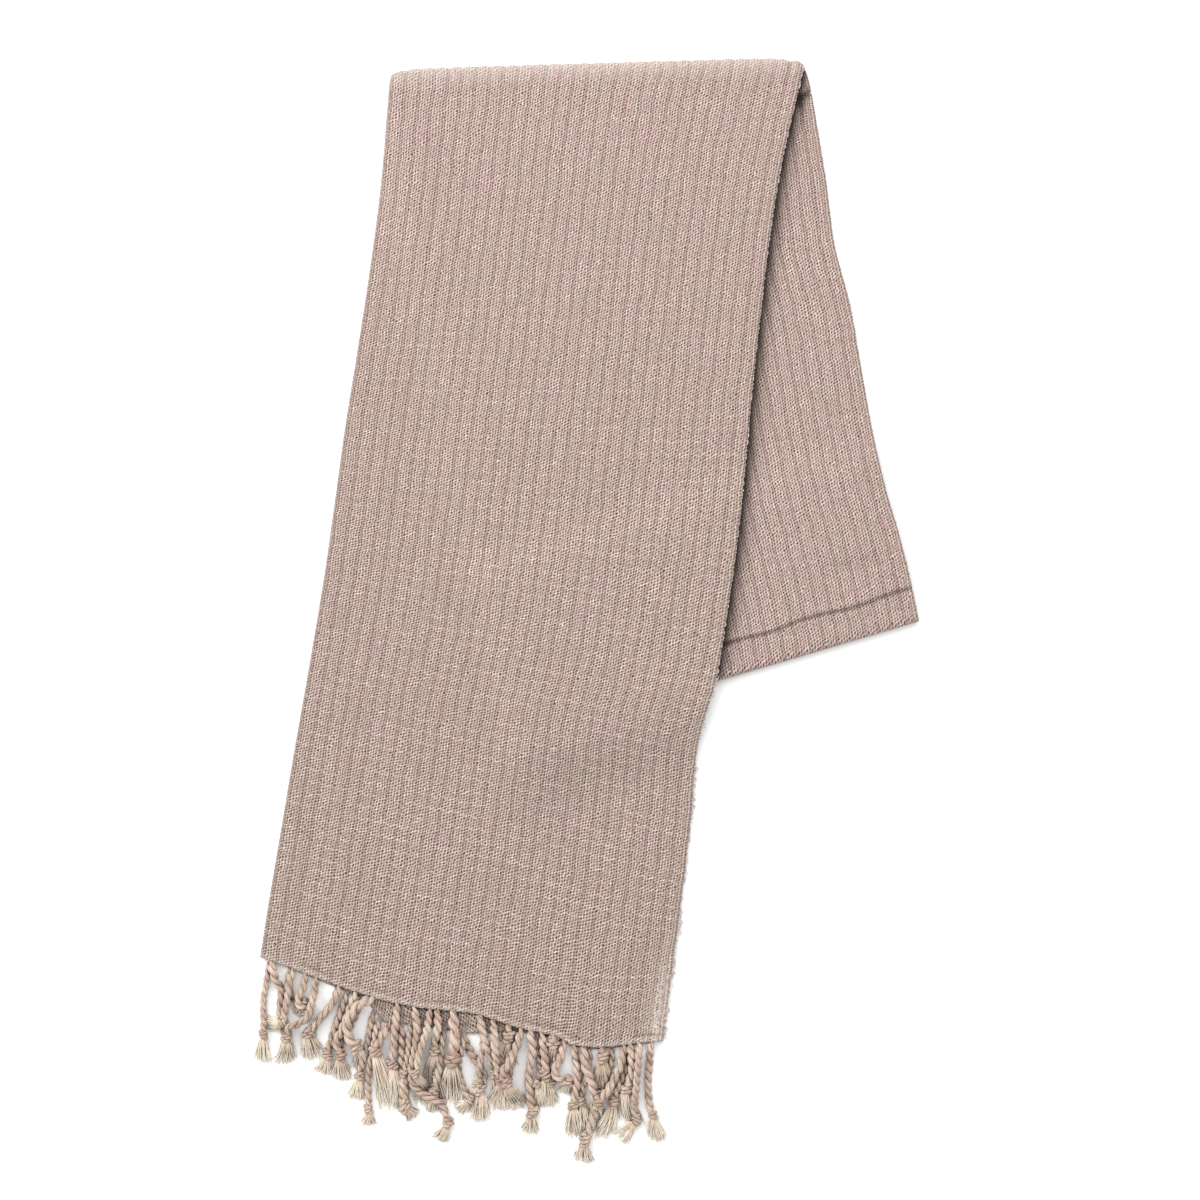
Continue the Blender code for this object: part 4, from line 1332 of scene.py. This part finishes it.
class TowelFringe(bpy.types.PropertyGroup):
    """Sizes and colours of the fringe."""

    tuft_yarns: count_field("Yarns in a tuft", "Loose yarns below each knot", 60, 80)
    # Painted shade: the colour deep between cords.
    painted_shade: colour_field("Hollow", "The yarn deep between cords", "443125")
    cord_colour: colour_field("Cord", "The twisted cords where they are darkest", "A28D7E")
    cord_pale: colour_field("Pale cord", "The twisted cords where they are worn pale", "CCBDB0")
    tuft_colour: colour_field("Tuft", "The loose yarns where they are darkest", "CBB7A1")
    tuft_pale: colour_field("Pale tuft", "The loose yarns where they are palest", "E8DCCB")
    tip_colour: colour_field("Tip", "The ends of the loose yarns", "F4ECDD")


class TowelStudio(bpy.types.PropertyGroup):
    """The floor, the lights and the lens."""

    lens: unit_field("Lens", "Focal length of the camera", 85.0, "CAMERA", 1.0)
    floor_colour: colour_field("Floor", "Colour of the floor", "F7F7F7")
    sky_strength: share_field("Sky", "Strength of the light from all round", 1.0, 10.0)
    key_power: unit_field("Key light", "Power of the soft light at the upper left", 95.0, "POWER")
    fill_power: unit_field("Fill light", "Power of the wide light above the top fold", 20.0, "POWER")


# ------------------------------------------------------------------ the operators


class TOWEL_OT_fringe(bpy.types.Operator):
    """Twists, knots and frays both fringes"""

    bl_idname = "towel.fringe"
    bl_label = "Make the fringes"

    def execute(self, context):
        fringe = context.scene.towel_fringe
        colours = (fringe.painted_shade, fringe.cord_colour, fringe.cord_pale, fringe.cord_pale)
        cord = cotton_yarn("twisted_cotton_cord", colours, 5, 0.0002, 0.0)
        colours = (fringe.painted_shade, fringe.tuft_colour, fringe.tuft_pale, fringe.tip_colour)
        loose = cotton_yarn("loose_cotton_yarn", colours, 2, 0.0001, 0.6)
        cords, knots, tufts = front_strands(fringe.tuft_yarns, np.random.default_rng(7))
        hidden = hidden_strands(HIDDEN_YARNS, np.random.default_rng(8))
        for name, tubes, sides, material, node in (
            ("front_cords", cords, 8, cord, "front_fringe"),
            ("front_knots", knots, 6, cord, "front_fringe"),
            ("front_tufts", tufts, 4, loose, "front_fringe"),
            ("back_cords", hidden, 4, cord, "back_fringe"),
        ):
            piece = show(make_tubes(name, tubes, sides), material)
            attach(piece, "root")
            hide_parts(node)
        return {"FINISHED"}


class TOWEL_OT_cloth(bpy.types.Operator):
    """Weaves the cloth, folds it and loops the weft out of its selvedges"""

    bl_idname = "towel.cloth"
    bl_label = "Make the cloth"

    def execute(self, context):
        cloth = context.scene.towel_cloth
        material = woven_cotton(cloth)
        sheet = show(weave_sheet(cloth.rib_relief), material)
        # The loops' painted shade takes the pale edge colour, so it stays faint.
        colours = (cloth.wear_and_highlight_yarn, cloth.light_yarn, cloth.light_yarn, cloth.loop_yarn)
        loose = cotton_yarn("weft_yarn", colours, 2, 0.0001, 0.0)
        loops = selvedge_loops(np.random.default_rng(9), cloth.loop_spacing, cloth.loop_reach)
        loops = show(make_tubes("selvedge_loops", loops, 4), loose)
        for piece in (sheet, loops):
            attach(piece, "root")
            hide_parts("towel_cloth")
        return {"FINISHED"}


class TOWEL_OT_studio(bpy.types.Operator):
    """Lays the floor, hangs the lights and sets the camera straight above the towel"""

    bl_idname = "towel.studio"
    bl_label = "Set the studio"

    def execute(self, context):
        studio = context.scene.towel_studio
        scene = context.scene
        bm = bmesh.new()
        bmesh.ops.create_grid(bm, x_segments=1, y_segments=1, size=FLOOR_SIZE / 2)
        bmesh.ops.translate(bm, vec=(0.0, 0.0, -FLOOR_DROP), verts=bm.verts[:])
        mesh = bpy.data.meshes.new("studio_floor")
        bm.to_mesh(mesh)
        bm.free()
        show(mesh, matt_paper("backdrop_paper", studio.floor_colour))

        world = bpy.data.worlds.new("soft_light")
        world.use_nodes = True
        sky = world.node_tree.nodes["Background"]
        sky.inputs["Color"].default_value = linear("FFFFFF")
        sky.inputs["Strength"].default_value = studio.sky_strength
        scene.world = world
        lights = (
            ("key_light", (-2.6, 1.9, 2.4), 1.7, studio.key_power),
            ("fill_light", (0.0, 0.9, 1.5), 1.6, studio.fill_power),
        )
        for name, place, size, power in lights:
            light = bpy.data.lights.new(name, "AREA")
            light.shape = "SQUARE"
            light.size = size
            light.energy = power
            lamp = bpy.data.objects.new(name, light)
            lamp.location = place
            aim = -lamp.location
            lamp.rotation_euler = aim.to_track_quat("-Z", "Y").to_euler()
            scene.collection.objects.link(lamp)

        camera = bpy.data.cameras.new("overhead_camera")
        camera.lens = studio.lens
        camera.sensor_width = SENSOR
        holder = bpy.data.objects.new("overhead_camera", camera)
        holder.location = (*FRAME_CENTRE, FRAME_WIDTH * studio.lens / SENSOR)
        scene.collection.objects.link(holder)
        scene.camera = holder

        # Colours as they are, so that the floor is near white and the cloth keeps its contrast.
        scene.view_settings.view_transform = "Standard"
        return {"FINISHED"}


class TOWEL_PT_panel(bpy.types.Panel):
    """Lists the towel's pieces and what can be changed on them"""

    bl_idname = "TOWEL_PT_panel"
    bl_label = "Hammam towel"
    bl_space_type = "VIEW_3D"
    bl_region_type = "UI"
    bl_category = "Towel"

    def draw(self, context):
        groups = (
            (TOWEL_OT_fringe, context.scene.towel_fringe),
            (TOWEL_OT_cloth, context.scene.towel_cloth),
            (TOWEL_OT_studio, context.scene.towel_studio),
        )
        for operator, settings in groups:
            box = self.layout.box()
            for name in settings.__annotations__:
                box.prop(settings, name)
            box.operator(operator.bl_idname)


CLASSES = (
    TowelCloth, TowelFringe, TowelStudio,
    TOWEL_OT_fringe, TOWEL_OT_cloth, TOWEL_OT_studio, TOWEL_PT_panel,
)


def register():
    for item in CLASSES:
        bpy.utils.register_class(item)
    bpy.types.Scene.towel_cloth = bpy.props.PointerProperty(type=TowelCloth)
    bpy.types.Scene.towel_fringe = bpy.props.PointerProperty(type=TowelFringe)
    bpy.types.Scene.towel_studio = bpy.props.PointerProperty(type=TowelStudio)


def unregister():
    del bpy.types.Scene.towel_studio
    del bpy.types.Scene.towel_fringe
    del bpy.types.Scene.towel_cloth
    for item in reversed(CLASSES):
        bpy.utils.unregister_class(item)


def main():
    register()
    bpy.ops.towel.fringe()
    bpy.ops.towel.cloth()
    bpy.ops.towel.studio()


if __name__ == "__main__":
    main()
